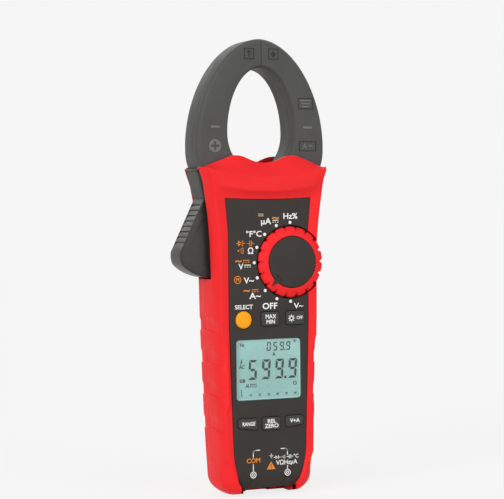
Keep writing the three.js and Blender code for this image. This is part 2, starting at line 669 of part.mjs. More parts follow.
// the channel that holds the core, and the core itself when it is made slightly smaller
function coreRing(slack) {
  const outside = loft([-7.3 + slack, 9.8 - slack].map((y) => ovalLoop(JAW_OUTSIDE, -1.4 - slack, y, 36)));
  const window = loft([-9, 11].map((y) => ovalLoop(JAW_WINDOW, 2.2 + slack, y, 32)));
  return outside.subtract(window);
}

const leftOf = (x) => box(-100, x, -50, 50, 150, 300);
const rightOf = (x) => box(x, 100, -50, 50, 150, 300);
const inFrontOf = (y) => box(-100, 100, -50, y, 100, 300);
const behind = (y) => box(-100, 100, y, 50, 100, 300);

function addJaws() {
  const ring = jawRing();
  const channel = coreRing(0);
  const arm = prism(polygon([[-40.4, 194.2], [-36.2, 177.3], [-34.5, 172.6], [-22, 172.4], [-20, 180], [-24, 190]]), -5, 11);
  const boss = post(PIVOT.x, PIVOT.z, 6, JAW_FRONT + 0.3, JAW_BACK - 0.3, 20);
  const bossCore = post(PIVOT.x, PIVOT.z, 6, -20, 20, 20);
  const bore = post(PIVOT.x, PIVOT.z, 2.5 + GAP, -20, 20, 16);
  const movingChannel = channel.subtract(bossCore);
  const moving = cut(union(ring.intersect(leftOf(-0.15)), arm, boss), movingChannel, bore);
  part('moving_jaw_front', moving.intersect(inFrontOf(JAW_PARTING - 0.15)), JAW_GREY);
  part('moving_jaw_rear', moving.intersect(behind(JAW_PARTING + 0.15)), JAW_GREY);

  const foot = prism(polygon([[14, 188], [33.6, 190], [30.6, 170], [21, 170], [14, 182]]), 3, 11.1);
  const screwWays = JAW_SCREWS.map(([x, z]) => union(post(x, z, 1.6, 0, 20, 12), post(x, z, 2.8, -20, 2.5, 14)));
  const screwShells = JAW_SCREWS.map(([x, z]) => post(x, z, 4, 0, 11.1, 14));
  const fixedChannel = channel.subtract(union(...screwShells));
  const fixed = cut(union(ring.intersect(rightOf(0.15)), foot), fixedChannel, ...screwWays);
  part('fixed_jaw_front', fixed.intersect(inFrontOf(JAW_PARTING - 0.15)), JAW_GREY);
  part('fixed_jaw_rear', fixed.intersect(behind(JAW_PARTING + 0.15)), JAW_GREY);

  const core = coreRing(0.35);
  part('moving_core', core.intersect(leftOf(-0.5)).subtract(post(PIVOT.x, PIVOT.z, 6.4, -20, 20, 20)), CORE);
  const keepOff = JAW_SCREWS.map(([x, z]) => post(x, z, 4.4, -20, 20, 14));
  const gap = box(-10, 3, -20, 20, 150, 200);
  part('fixed_core', cut(core.intersect(rightOf(0.5)), gap, ...keepOff), CORE);
  part('field_sensor', box(0.7, 2.6, -3, 3, 183.6, 187.6), TRAY_DARK);
}

function addTrigger() {
  const shape = new THREE.Shape();
  shape.moveTo(-36.4, 176.6);
  shape.lineTo(-51.5, 145.5);
  shape.quadraticCurveTo(TRIGGER_NOSE_X - 0.76, 141.5, -50.5, 138);
  shape.quadraticCurveTo(-46, 133, -37.5, 130.6);
  shape.quadraticCurveTo(-34, 129.9, -31, 129.6);
  shape.lineTo(-26, 150);
  shape.lineTo(-25.5, 171.4);
  shape.lineTo(-34.8, 171.8);
  shape.closePath();
  const body = prism(shape, -6.8, 10, 5);
  const dish = prism(softPolygon([[-37.5, 166], [-47, 146], [-36, 137], [-34.5, 160]], 2), -20, -6.2, 2);
  part('trigger', body.subtract(dish), TRIGGER_BLACK);
}

class SpringCurve extends THREE.Curve {
  getPoint(t, target = new THREE.Vector3()) {
    const turns = 6;
    const turn = t * turns * Math.PI * 2;
    return target.set(-25.1 + t * 17.6, 2 + 4 * Math.cos(turn), 150 + 4 * Math.sin(turn));
  }
}

function addTriggerSpring() {
  const section = new THREE.Shape();
  section.absarc(0, 0, 0.45, 0, Math.PI * 2, false);
  const geometry = new THREE.ExtrudeGeometry(section, {
    steps: 60, curveSegments: 3, bevelEnabled: false, extrudePath: new SpringCurve(),
  });
  part('trigger_spring', orient(geometry), STEEL);
}

// ---------------------------------------------------------------- assembly

part('front_case', frontCase(), RED);
part('rear_case', rearCase(), RED);
addPanelGroup();
addRangeSwitch();
addBoard();
addTerminals();
addBattery();
addFasteners();
addSeals();
addJaws();
addTrigger();
addTriggerSpring();

meter.position.set(-(TRIGGER_NOSE_X + CORNER_X) / 2, -(KNOB_FACE_Y + BACK_Y) / 2, 0);

export default meter;
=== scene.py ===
"""The looks of a hand-held clamp meter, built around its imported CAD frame.

While it is modelled, sizes are in millimetres on the meter's own axes: x = 0 is the case's centre line,
y = 0 is near the case seam, -y is the front, and z = 0 is the bottom. Each finished piece is then moved
into the row frame, in metres.
"""

import logging
import math
from collections.abc import Callable, Sequence
from dataclasses import dataclass, field
from enum import Enum

import bmesh
import bpy
from bmesh.types import BMesh
from mathutils import Matrix, Vector


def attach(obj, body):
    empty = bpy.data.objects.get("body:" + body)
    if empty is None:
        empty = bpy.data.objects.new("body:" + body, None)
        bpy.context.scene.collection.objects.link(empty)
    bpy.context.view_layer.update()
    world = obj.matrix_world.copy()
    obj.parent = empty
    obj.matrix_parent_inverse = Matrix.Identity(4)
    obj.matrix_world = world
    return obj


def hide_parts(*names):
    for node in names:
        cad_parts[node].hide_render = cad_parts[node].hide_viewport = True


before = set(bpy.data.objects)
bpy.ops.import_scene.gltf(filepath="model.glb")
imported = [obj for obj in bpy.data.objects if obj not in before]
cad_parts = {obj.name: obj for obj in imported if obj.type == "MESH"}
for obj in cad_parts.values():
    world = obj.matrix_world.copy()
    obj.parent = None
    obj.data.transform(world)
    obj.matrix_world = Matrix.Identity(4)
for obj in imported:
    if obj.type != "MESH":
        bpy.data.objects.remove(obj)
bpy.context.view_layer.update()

LOG = logging.getLogger("clamp_meter")

MM = 0.001
# how far print stands out from its surface, in millimetres
PRINT_THICK = 0.06
# the meter's own axes stand this far from the row frame's, in millimetres
OWN_AXES = Vector((4.8, 0.75, 0.0))

Point = tuple[float, float]
Law = Sequence[Point]


class Body(Enum):
    """The bodies of the frame, by what they are on the meter."""

    CASE = "case"
    MOVING_JAW = "moving_jaw"
    KNOB = "knob"
    SELECT_KEY = "select_key"
    MAX_MIN_KEY = "max_min_key"
    LIGHT_KEY = "light_key"
    RANGE_KEY = "range_key"
    ZERO_KEY = "zero_key"
    INRUSH_KEY = "inrush_key"
    LID = "battery_lid"


class Cut(Enum):
    """What a tool does to the blank it meets."""

    AWAY = "DIFFERENCE"
    ONTO = "UNION"
    SHARED = "INTERSECT"


# ---------------------------------------------------------------- laws of shape


def along(law: Law, at: float) -> float:
    """Reads a table of (position, value) pairs between its entries.

    Args:
        law: Pairs in rising order of position.
        at: The position to read.

    Returns:
        The value there, held level beyond both ends.
    """
    if at <= law[0][0]:
        return law[0][1]
    for (low, first), (high, second) in zip(law, law[1:]):
        if at <= high:
            return first + (second - first) * (at - low) / (high - low)
    return law[-1][1]


def ease(start: float, end: float, at: float) -> float:
    """Rises smoothly from 0 at start to 1 at end.

    Args:
        start: Where the rise begins.
        end: Where it is complete.
        at: The position to read.

    Returns:
        A share from 0 to 1.
    """
    t = min(1.0, max(0.0, (at - start) / (end - start)))
    return t * t * (3 - 2 * t)


def rounded_corner(before: Vector, corner: Vector, after: Vector, reach: float, count: int) -> list[Vector]:
    """Rounds one corner of a section.

    Args:
        before: The section's previous control point.
        corner: The corner itself.
        after: The next control point.
        reach: How far from the corner the rounding starts, at most 45% of either side.
        count: How many points the rounding has.

    Returns:
        The points of the rounding, in order.
    """
    to_before, to_after = before - corner, after - corner
    start = corner + to_before.normalized() * min(reach, to_before.length * 0.45)
    end = corner + to_after.normalized() * min(reach, to_after.length * 0.45)
    points = []
    for step in range(count):
        t = step / (count - 1)
        points.append(start * (1 - t) ** 2 + corner * 2 * t * (1 - t) + end * t**2)
    return points


def section(controls: Sequence[Vector], reaches: Sequence[float], counts: Sequence[int]) -> list[Vector]:
    """Makes a section of straight sides and rounded corners with a fixed number of points.

    Args:
        controls: The control points, both ends included.
        reaches: The rounding of each inner control point.
        counts: The number of steps on each straight side.

    Returns:
        The points along the section.
    """
    corner_points = 5
    pieces = [
        rounded_corner(controls[i], controls[i + 1], controls[i + 2], reach, corner_points)
        for i, reach in enumerate(reaches)
    ]
    points = []
    ends = [[controls[0]], *pieces, [controls[-1]]]
    for side, count in enumerate(counts):
        start, end = ends[side][-1], ends[side + 1][0]
        if side == 0:
            points.append(start)
        points += [start.lerp(end, step / count) for step in range(1, count)]
        points += ends[side + 1]
    return points


# ---------------------------------------------------------------- mesh tools


def skin(columns: int, rows: int, place: Callable[[int, int], Vector]) -> BMesh:
    """Lays a grid over a shape.

    Args:
        columns: Faces across.
        rows: Faces up.
        place: Gives a corner's place from its column and row.

    Returns:
        The open skin.
    """
    sheet = bmesh.new()
    bmesh.ops.create_grid(sheet, x_segments=columns, y_segments=rows, size=0.5)
    for vert in sheet.verts:
        vert.co = place(round((vert.co.x + 0.5) * columns), round((vert.co.y + 0.5) * rows))
    return sheet


def welded(blank: BMesh) -> None:
    """Merges the corners of a mesh that lie in one place."""
    bmesh.ops.remove_doubles(blank, verts=blank.verts[:], dist=1e-4)


def faced_outwards(blank: BMesh) -> None:
    """Turns every face of a closed mesh outwards."""
    bmesh.ops.recalc_face_normals(blank, faces=blank.faces[:])


def eased(blank: BMesh, geometry: Sequence, reach: float, segments: int, affect: str = "EDGES",
          profile: float = 0.5) -> None:
    """Rounds edges or corners of a mesh.

    Args:
        blank: The mesh.
        geometry: The edges or corners to round.
        reach: How far the rounding goes.
        segments: How many steps it has.
        affect: EDGES or VERTICES.
        profile: How full it is; 0.5 is round.
    """
    bmesh.ops.bevel(blank, geom=geometry, offset=reach, offset_type="OFFSET", segments=segments,
                    profile=profile, affect=affect, material=-1)


def outline_face(points: Sequence[Point], depth: float) -> BMesh:
    """Makes one flat face in the front view.

    Args:
        points: The outline as (x, z).
        depth: The face's y.

    Returns:
        A mesh of one face.
    """
    flat = bmesh.new()
    flat.faces.new([flat.verts.new((x, depth, z)) for x, z in points])
    return flat


def plate(points: Sequence[Point], front: float, back: float, corner: float = 0.0, edge: float = 0.0) -> BMesh:
    """Makes a flat outline into a plate.

    Args:
        points: The outline as (x, z).
        front: The y of the plate's face.
        back: The y of its back.
        corner: How far the outline's corners are rounded.
        edge: How far the edge of the face is eased.

    Returns:
        The closed plate.
    """
    blank = outline_face(points, front)
    if corner:
        eased(blank, blank.verts[:], corner, 5, "VERTICES")
    grown = bmesh.ops.extrude_face_region(blank, geom=blank.faces[:])
    moved = [item for item in grown["geom"] if isinstance(item, bmesh.types.BMVert)]
    bmesh.ops.translate(blank, verts=moved, vec=(0, back - front, 0))
    faced_outwards(blank)
    if edge:
        rim = [e for e in blank.edges if all(abs(v.co.y - front) < 1e-5 for v in e.verts)]
        eased(blank, rim, edge, 3)
    return blank


def rectangle(x0: float, x1: float, z0: float, z1: float) -> list[Point]:
    """The four corners of an upright rectangle as (x, z)."""
    return [(x0, z0), (x1, z0), (x1, z1), (x0, z1)]


def circle(x: float, z: float, radius: float, count: int = 48) -> list[Point]:
    """The points of a circle as (x, z)."""
    turns = [math.tau * step / count for step in range(count)]
    return [(x + radius * math.cos(turn), z + radius * math.sin(turn)) for turn in turns]


def block(low: Sequence[float], high: Sequence[float], edge: float = 0.0) -> BMesh:
    """Makes a block between two corners, with its edges eased.

    Args:
        low: The lowest corner.
        high: The highest corner.
        edge: How far the edges are eased.

    Returns:
        The closed block.
    """
    blank = plate(rectangle(low[0], high[0], low[2], high[2]), low[1], high[1])
    if edge:
        eased(blank, blank.edges[:], edge, 2)
    return blank


def spun(profile: Law, x: float, z: float, steps: int = 64) -> BMesh:
    """Turns a profile about an axis that runs front to back.

    Args:
        profile: Pairs of (radius, y). A closed ring repeats its first pair at the end.
        x: Where the axis stands.
        z: Where the axis stands.
        steps: Faces round the turn.

    Returns:
        The closed turned shape.
    """
    blank = bmesh.new()
    verts = [blank.verts.new((radius, depth, 0)) for radius, depth in profile]
    edges = [blank.edges.new(pair) for pair in zip(verts, verts[1:])]
    bmesh.ops.spin(blank, geom=verts + edges, cent=(0, 0, 0), axis=(0, 1, 0), dvec=(0, 0, 0),
                   angle=math.tau, steps=steps, use_merge=True, use_normal_flip=False, use_duplicate=False)
    welded(blank)
    faced_outwards(blank)
    bmesh.ops.translate(blank, verts=blank.verts[:], vec=(x, 0, z))
    return blank


def rod(x: float, z: float, radius: float, front: float, back: float, steps: int) -> BMesh:
    """A plain round rod that runs front to back."""
    return spun(((0, front), (radius, front), (radius, back), (0, back)), x, z, steps)


def settled(name: str, blank: BMesh) -> bpy.types.Mesh:
    """Turns a blank into a mesh of the file, and frees the blank."""
    mesh = bpy.data.meshes.new(name)
    blank.to_mesh(mesh)
    blank.free()
    return mesh


def placed(name: str, data: bpy.types.ID) -> bpy.types.Object:
    """Puts a mesh, curve, lamp or camera into the scene as an object."""
    held = bpy.data.objects.new(name, data)
    bpy.context.scene.collection.objects.link(held)
    return held


def taken_off(held: bpy.types.Object) -> BMesh:
    """Takes an object off the bench with its modifiers applied.

    Args:
        held: The object on the bench.

    Returns:
        Its finished mesh.
    """
    seen = held.evaluated_get(bpy.context.evaluated_depsgraph_get())
    mesh = bpy.data.meshes.new_from_object(seen)
    shaped = bmesh.new()
    shaped.from_mesh(mesh)
    bpy.data.meshes.remove(mesh)
    return shaped


def joined(*parts: BMesh) -> BMesh:
    """Puts several meshes into one, and frees them."""
    whole = bmesh.new()
    for part in parts:
        mesh = settled("joining", part)
        whole.from_mesh(mesh)
        bpy.data.meshes.remove(mesh)
    return whole


def wall_between(outer: BMesh, inner: BMesh, rim: float) -> BMesh:
    """Joins an outer and an inner skin along their edges into one closed wall.

    Args:
        outer: The outer skin.
        inner: The inner skin, with the same edges further in.
        rim: How far the outer skin's edge is eased.

    Returns:
        The closed shell.
    """
    outer_count = len(outer.verts)
    wall = joined(outer, inner)
    wall.verts.ensure_lookup_table()
    wall.verts.index_update()
    edges = [edge for edge in wall.edges if edge.is_boundary]
    outer_rim = [edge for edge in edges if edge.verts[0].index < outer_count]
    bmesh.ops.bridge_loops(wall, edges=edges)
    faced_outwards(wall)
    if rim:
        eased(wall, outer_rim, rim, 2)
    return wall


def carved(blank: BMesh, *works: tuple[Cut, BMesh], exact: bool = False) -> BMesh:
    """Cuts tools out of a blank and joins additions onto it, in order.

    Args:
        blank: The closed shape to work on.
        works: Pairs of what to do and the closed tool.
        exact: Whether faces of the blank and a tool lie in one plane.

    Returns:
        The worked shape.
    """
    held = placed("blank", settled("blank", blank))
    bench = [held]
    for cut, tool in works:
        bench.append(placed("tool", settled("tool", tool)))
        work = held.modifiers.new("work", "BOOLEAN")
        work.operation = cut.value
        work.solver = "EXACT" if exact else "FAST"
        work.object = bench[-1]
    shaped = taken_off(held)
    for spare in bench:
        bpy.data.meshes.remove(spare.data)
    welded(shaped)
    return shaped


def away(blank: BMesh, *tools: BMesh) -> BMesh:
    """Cuts every tool out of a blank."""
    return carved(blank, *[(Cut.AWAY, tool) for tool in tools], exact=True)


@dataclass(frozen=True)
class Fitting:
    """Where a finished piece belongs.

    Attributes:
        name: The piece's name.
        body: The body it rides on.
        slot: The record's slot for its finish; it is not used.
        replaces: The CAD nodes that it stands for.
        sharp: The angle in degrees past which an edge stays crisp.
    """

    name: str
    body: Body
    slot: str
    replaces: tuple[str, ...] = ()
    sharp: float = 32.0

    def fit(self, blank: BMesh, finish: "Finish") -> bpy.types.Object:
        """Moves a finished mesh into the row frame as a piece of the meter.

        Args:
            blank: The mesh in millimetres on the meter's own axes.
            finish: The finish that it is given.

        Returns:
            The piece.
        """
        bmesh.ops.translate(blank, verts=blank.verts[:], vec=OWN_AXES)
        bmesh.ops.scale(blank, verts=blank.verts[:], vec=(MM, MM, MM))
        mesh = settled(self.name, blank)
        mesh.shade_smooth()
        mesh.set_sharp_from_angle(angle=math.radians(self.sharp))
        mesh.materials.append(finish.material())
        piece = placed(self.name, mesh)
        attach(piece, self.body.value)
        if self.replaces:
            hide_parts(*self.replaces)
        LOG.info("%s: %d faces on %s", self.name, len(mesh.polygons), self.body.value)
        return piece


# ---------------------------------------------------------------- finishes


def srgb(red: int, green: int, blue: int) -> tuple[float, float, float, float]:
    """Turns a colour of 0 to 255 steps into the linear colour that a shader takes."""
    shares = [step / 255 for step in (red, green, blue)]
    linear = [s / 12.92 if s <= 0.04045 else ((s + 0.055) / 1.055) ** 2.4 for s in shares]
    return (*linear, 1.0)


Colour = tuple[float, float, float, float]


def tinted(colour: Colour, by: float) -> Colour:
    """The same colour, lighter above 1 and darker below it."""
    return (*[min(1.0, share * by) for share in colour[:3]], 1.0)


def wired(tree: bpy.types.NodeTree, kind: str, inputs: dict, **settings: object) -> bpy.types.Node:
    """Adds a node with its settings and inputs.

    Args:
        tree: The tree of a material or of the world.
        kind: The node's type, after its usual start.
        inputs: A value or a socket for each input, by its name or number.
        settings: The node's own choices, which are set first.

    Returns:
        The node.
    """
    made = tree.nodes.new(f"ShaderNode{kind}")
    for name, value in settings.items():
        setattr(made, name, value)
    for name, value in inputs.items():
        fed(tree, made.inputs[name], value)
    return made


def fed(tree: bpy.types.NodeTree, socket: bpy.types.NodeSocket, value: object) -> None:
    """Gives an input a value, or links it where the value is another node's socket."""
    if isinstance(value, bpy.types.NodeSocket):
        tree.links.new(value, socket)
    else:
        socket.default_value = value


class Shader:
    """A material under construction, whose patterns follow the piece's own coordinates."""

    def __init__(self, name: str) -> None:
        """Starts a material with a Principled shader.

        Args:
            name: The material's name.
        """
        self.made = bpy.data.materials.new(f"{name}_finish")
        self.made.use_nodes = True
        self.tree = self.made.node_tree
        self.surface = self.tree.nodes["Principled BSDF"]
        self.place = self.add("TexCoord", {}).outputs["Object"]

    def add(self, kind: str, inputs: dict, **settings: object) -> bpy.types.Node:
        """Adds a node to the material, as wired does."""
        return wired(self.tree, kind, inputs, **settings)

    def noise(self, size: float, detail: float = 3.0,
              stretch: Sequence[float] = (1, 1, 1)) -> bpy.types.NodeSocket:
        """Adds a cloudy pattern.

        Args:
            size: The size of its features in millimetres.
            detail: How much finer structure it has.
            stretch: How much closer together the features lie along each axis.

        Returns:
            The pattern's value socket, about 0 to 1.
        """
        turned = self.add("Mapping", {"Scale": stretch, "Vector": self.place}).outputs["Vector"]
        clouds = {"Scale": 1 / (size * MM), "Detail": detail, "Vector": turned}
        return self.add("TexNoise", clouds).outputs["Fac"]

    def cells(self, size: float) -> bpy.types.NodeSocket:
        """Adds a pattern of small rounded cells.

        Args:
            size: The size of a cell in millimetres.

        Returns:
            The distance from each cell's centre.
        """
        return self.add("TexVoronoi", {"Scale": 1 / (size * MM), "Vector": self.place}).outputs["Distance"]

    def bands(self, size: float, axis: str = "X") -> bpy.types.NodeSocket:
        """Adds straight bands.

        Args:
            size: The width of a band and its gap in millimetres.
            axis: The axis that they step along.

        Returns:
            The pattern's value socket.
        """
        scale = math.tau / 20 / (size * MM)
        return self.add("TexWave", {"Scale": scale, "Vector": self.place}, bands_direction=axis).outputs["Fac"]

    def spread(self, value: bpy.types.NodeSocket, low: float, high: float, start: float = 0.3,
               end: float = 0.7) -> bpy.types.NodeSocket:
        """Spreads a pattern over a range.

        Args:
            value: The pattern.
            low: The result at start.
            high: The result at end.
            start: The pattern's value for low.
            end: The pattern's value for high.

        Returns:
            The spread value.
        """
        return self.add("MapRange", {"From Min": start, "From Max": end, "To Min": low, "To Max": high,
                                     "Value": value}).outputs["Result"]

    def mixed(self, share: bpy.types.NodeSocket, first: Colour, second: Colour) -> bpy.types.NodeSocket:
        """Mixes two colours by a pattern.

        Args:
            share: The pattern, 0 for the first colour.
            first: The first colour, or a socket of it.
            second: The second colour.

        Returns:
            The mixed colour.
        """
        made = self.add("Mix", {"Factor": share, "A": first, "B": second}, data_type="RGBA")
        return made.outputs["Result"]

    def relief(self, *layers: tuple[bpy.types.NodeSocket, float]) -> None:
        """Raises and lowers the surface by patterns, one over another.

        Args:
            layers: Pairs of a pattern and its depth in millimetres.
        """
        normal = None
        for height, depth in layers:
            below = {} if normal is None else {"Normal": normal}
            normal = self.add("Bump", {"Distance": depth * MM, "Height": height, **below}).outputs["Normal"]
        self.drive("Normal", normal)

    def drive(self, socket: str, value: object) -> None:
        """Gives one of the surface's sockets a value, or drives it by a pattern."""
        fed(self.tree, self.surface.inputs[socket], value)


@dataclass(frozen=True)
class Finish:
    """What every finish has: a name and a base colour.

    Attributes:
        name: The finish's name.
        colour: Its main colour.
    """

    name: str
    colour: Colour

    def material(self) -> bpy.types.Material:
        """The finish's material, made once and shared by its pieces."""
        made = bpy.data.materials.get(f"{self.name}_finish")
        if made is None:
            shader = Shader(self.name)
            self.dress(shader)
            made = shader.made
        return made

    def dress(self, shader: Shader) -> None:
        """Lays the finish on a new material."""
        raise NotImplementedError


@dataclass(frozen=True)
class Moulded(Finish):
    """A moulded plastic or rubber, with the spark-eroded grain of its tool.

    Attributes:
        roughness: How dull it is.
        grain: The size of the moulded grain in millimetres.
        depth: The grain's depth in millimetres.
        mottle: How far its colour wanders over the piece.
        fleck: How far its colour varies from grain to grain.
        sheen: The strength of its clear highlight.
    """

    roughness: float = 0.5
    grain: float = 0.35
    depth: float = 0.02
    mottle: float = 0.06
    fleck: float = 0.05
    sheen: float = 0.5

    def dress(self, shader: Shader) -> None:
        """Lays the finish on a new material."""
        broad = shader.spread(shader.noise(26, 4), 0, 1)
        fine = shader.noise(self.grain, 2)
        pits = shader.cells(self.grain * 1.7)
        base = shader.mixed(broad, tinted(self.colour, 1 - self.mottle), tinted(self.colour, 1 + self.mottle))
        flecks = shader.spread(fine, 0, self.fleck, 0.45, 0.75)
        shader.drive("Base Color", shader.mixed(flecks, base, tinted(self.colour, 2.4)))
        worn = shader.spread(shader.noise(9, 5), self.roughness - 0.05, self.roughness + 0.06)
        shader.drive("Roughness", worn)
        shader.drive("Specular IOR Level", self.sheen)
        shader.drive("IOR", 1.38)
        shader.relief((fine, self.depth), (pits, self.depth * 0.7), (shader.noise(6, 2), self.depth * 2.5))


@dataclass(frozen=True)
class Metal(Finish):
    """A turned, drawn or plated metal.

    Attributes:
        roughness: How dull it is.
        brushed: The direction that its fine marks run along, as a stretch.
    """

    roughness: float = 0.3
    brushed: tuple[float, float, float] = (1, 12, 12)

    def dress(self, shader: Shader) -> None:
        """Lays the finish on a new material."""
        marks = shader.noise(1.6, 5, self.brushed)
        tarnish = shader.spread(shader.noise(4, 4), 0, 1)
        shader.drive("Base Color", shader.mixed(tarnish, self.colour, tinted(self.colour, 0.72)))
        shader.drive("Roughness", shader.spread(marks, self.roughness - 0.08, self.roughness + 0.14))
        shader.drive("Metallic", 1.0)
        shader.relief((marks, 0.012))


@dataclass(frozen=True)
class Clear(Finish):
    """A thin clear cover that the display shows through.

    Attributes:
        veil: How much of what lies behind it hides.
    """

    veil: float = 0.12

    def dress(self, shader: Shader) -> None:
        """Lays the finish on a new material."""
        wipe = shader.noise(7, 4, (1, 1, 0.4))
        smeared = shader.spread(wipe, 0, 1)
        shader.drive("Base Color", shader.mixed(smeared, self.colour, tinted(self.colour, 0.94)))
        shader.drive("Roughness", shader.spread(wipe, 0.05, 0.12))
        shader.drive("Alpha", self.veil)
        shader.drive("IOR", 1.49)
        shader.relief((shader.noise(12, 1), 0.02))


@dataclass(frozen=True)
class Crystal(Finish):
    """The liquid crystal glass, with its faint cells and lighter rim.

    Attributes:
        middle: Where the glass's centre is, in the row frame's metres.
        half: Half its width and height.
    """

    middle: tuple[float, float, float] = (0, 0, 0)
    half: tuple[float, float] = (0.02, 0.02)

    def dress(self, shader: Shader) -> None:
        """Lays the finish on a new material."""
        centred = shader.add("Mapping", {"Location": self.middle, "Scale": (self.half[0], 1, self.half[1]),
                                         "Vector": shader.place}, vector_type="TEXTURE")
        round_off = shader.add("TexGradient", {"Vector": centred.outputs["Vector"]}, gradient_type="SPHERICAL")
        rim = shader.spread(round_off.outputs["Fac"], 1, 0, 0.0, 0.3)
        glass = shader.mixed(rim, self.colour, tinted(self.colour, 1.12))
        cells = shader.spread(shader.noise(0.25, 1), 0, 0.06)
        shader.drive("Base Color", shader.mixed(cells, glass, tinted(self.colour, 0.8)))
        shader.drive("Roughness", shader.spread(shader.noise(3, 3), 0.26, 0.36))
        shader.relief((shader.noise(0.3, 1), 0.003))


@dataclass(frozen=True)
class Ink(Finish):
    """A printed or displayed mark.

    Attributes:
        roughness: How dull it is.
        wear: How far the print is rubbed down to the grey below.
    """

    roughness: float = 0.5
    wear: float = 0.12

    def dress(self, shader: Shader) -> None:
        """Lays the finish on a new material."""
        rubbed = shader.spread(shader.noise(0.8, 5), 0, self.wear, 0.5, 0.8)
        shader.drive("Base Color", shader.mixed(rubbed, self.colour, tinted(self.colour, 0.45)))
        shader.drive("Roughness", shader.spread(shader.noise(0.5, 2), self.roughness, self.roughness + 0.12))
        shader.relief((shader.noise(0.25, 2), 0.008))


@dataclass(frozen=True)
class Board(Finish):
    """Glass-fibre board with solder mask over copper tracks."""

    def dress(self, shader: Shader) -> None:
        """Lays the finish on a new material."""
        tracks = shader.spread(shader.bands(2.6, "Z"), 0, 1, 0.48, 0.56)
        ways = shader.spread(shader.bands(3.8, "X"), 0, 0.6, 0.7, 0.78)
        base = shader.mixed(tracks, self.colour, tinted(self.colour, 1.5))
        crossed = shader.mixed(ways, base, tinted(self.colour, 1.8))
        pads = shader.spread(shader.cells(3.2), 1, 0, 0.07, 0.11)
        shader.drive("Base Color", shader.mixed(pads, crossed, srgb(196, 190, 168)))
        shader.drive("Roughness", shader.spread(shader.noise(2, 3), 0.32, 0.46))
        shader.relief((tracks, 0.03), (pads, 0.04))


@dataclass(frozen=True)
class Wrapper(Finish):
    """The printed sleeve of a dry cell.

    Attributes:
        band: The colour of the band round its upper part.
        band_height: Where the band starts, in the row frame's metres.
    """

    band: Colour = (0.8, 0.5, 0.1, 1)
    band_height: float = 0.07

    def dress(self, shader: Shader) -> None:
        """Lays the finish on a new material."""
        split = shader.add("SeparateXYZ", {"Vector": shader.place})
        upper = shader.spread(split.outputs["Z"], 0, 1, self.band_height, self.band_height + 0.0004)
        base = shader.mixed(upper, self.colour, self.band)
        scuffs = shader.spread(shader.noise(1.5, 6), 0, 0.25, 0.6, 0.75)
        shader.drive("Base Color", shader.mixed(scuffs, base, srgb(205, 205, 200)))
        shader.drive("Roughness", shader.spread(shader.noise(2, 3), 0.24, 0.4))
        shader.relief((shader.noise(1.2, 3), 0.02))


@dataclass(frozen=True)
class Laminated(Finish):
    """A core of thin stacked strips."""

    def dress(self, shader: Shader) -> None:
        """Lays the finish on a new material."""
        strips = shader.bands(0.7, "Y")
        edges = shader.spread(strips, 0, 1)
        shader.drive("Base Color", shader.mixed(edges, self.colour, tinted(self.colour, 0.55)))
        shader.drive("Roughness", shader.spread(shader.noise(1.5, 4), 0.38, 0.55))
        shader.drive("Metallic", 1.0)
        shader.relief((strips, 0.05))


RED = Moulded("red_shell", srgb(240, 42, 45), roughness=0.5, grain=0.3, depth=0.012, mottle=0.03,
              fleck=0.02, sheen=0.16)
PANEL_DARK = Moulded("panel_dark", srgb(58, 54, 51), roughness=0.58, grain=0.42, depth=0.03, mottle=0.08,
                     fleck=0.07, sheen=0.16)
JAW_GREY = Moulded("jaw_grey", srgb(78, 78, 76), roughness=0.56, grain=0.5, depth=0.03, mottle=0.09,
                   fleck=0.06, sheen=0.25)
TRIGGER_BLACK = Moulded("trigger_black", srgb(47, 45, 42), roughness=0.36, grain=0.35, depth=0.014, mottle=0.08,
                        fleck=0.04, sheen=0.45)
KEY_GREY = Moulded("key_grey", srgb(64, 63, 62), roughness=0.6, grain=0.3, depth=0.02, mottle=0.06,
                   fleck=0.05, sheen=0.22)
KEY_YELLOW = Moulded("key_yellow", srgb(252, 166, 22), roughness=0.48, grain=0.3, depth=0.012, mottle=0.03,
                     fleck=0.02, sheen=0.22)
# painted shade: the raised jaw frames and the arrow are the jaw's own grey, painted darker here as shade
MARK_PAINTED_SHADE = Moulded("mark_painted_shade", srgb(52, 52, 50), roughness=0.5, grain=0.4, depth=0.02, mottle=0.06, sheen=0.2)
# painted highlight: the raised jaw marks are the jaw's own grey, painted lighter here as the light they catch
MARK_PAINTED_HIGHLIGHT = Moulded("mark_painted_highlight", srgb(112, 112, 109), roughness=0.5, grain=0.4, depth=0.02, mottle=0.06,
                     sheen=0.3)
MOULDING_BLACK = Moulded("moulding_black", srgb(34, 34, 34), roughness=0.55, grain=0.5, depth=0.03, fleck=0.06)
NYLON = Moulded("nylon", srgb(226, 222, 208), roughness=0.45, grain=0.6, depth=0.02, mottle=0.05)
SILICONE = Moulded("silicone", srgb(176, 176, 172), roughness=0.72, grain=0.5, depth=0.03, mottle=0.05)
DIFFUSER = Moulded("diffuser", srgb(238, 238, 230), roughness=0.5, grain=0.8, depth=0.02, mottle=0.03)
INDICATOR = Moulded("indicator", srgb(128, 112, 92), roughness=0.3, grain=0.3, depth=0.01, mottle=0.2)
SEAL = Moulded("seal", srgb(28, 28, 28), roughness=0.8, grain=0.4, depth=0.04, mottle=0.1)
STEEL = Metal("steel", srgb(186, 188, 190), roughness=0.3)
BRASS = Metal("brass", srgb(212, 175, 92), roughness=0.26, brushed=(10, 10, 1))
CORE = Laminated("core", srgb(140, 134, 126))
CELL = Wrapper("cell", srgb(36, 74, 122), band=srgb(214, 172, 92), band_height=0.068)
BOARD = Board("board", srgb(28, 84, 54))
LENS = Clear("lens", srgb(214, 226, 224), veil=0.03)
WHITE_INK = Ink("white_ink", srgb(240, 240, 236))
ORANGE_INK = Ink("orange_ink", srgb(226, 132, 30))
LCD_INK = Ink("lcd_ink", srgb(8, 11, 12), roughness=0.45, wear=0.02)
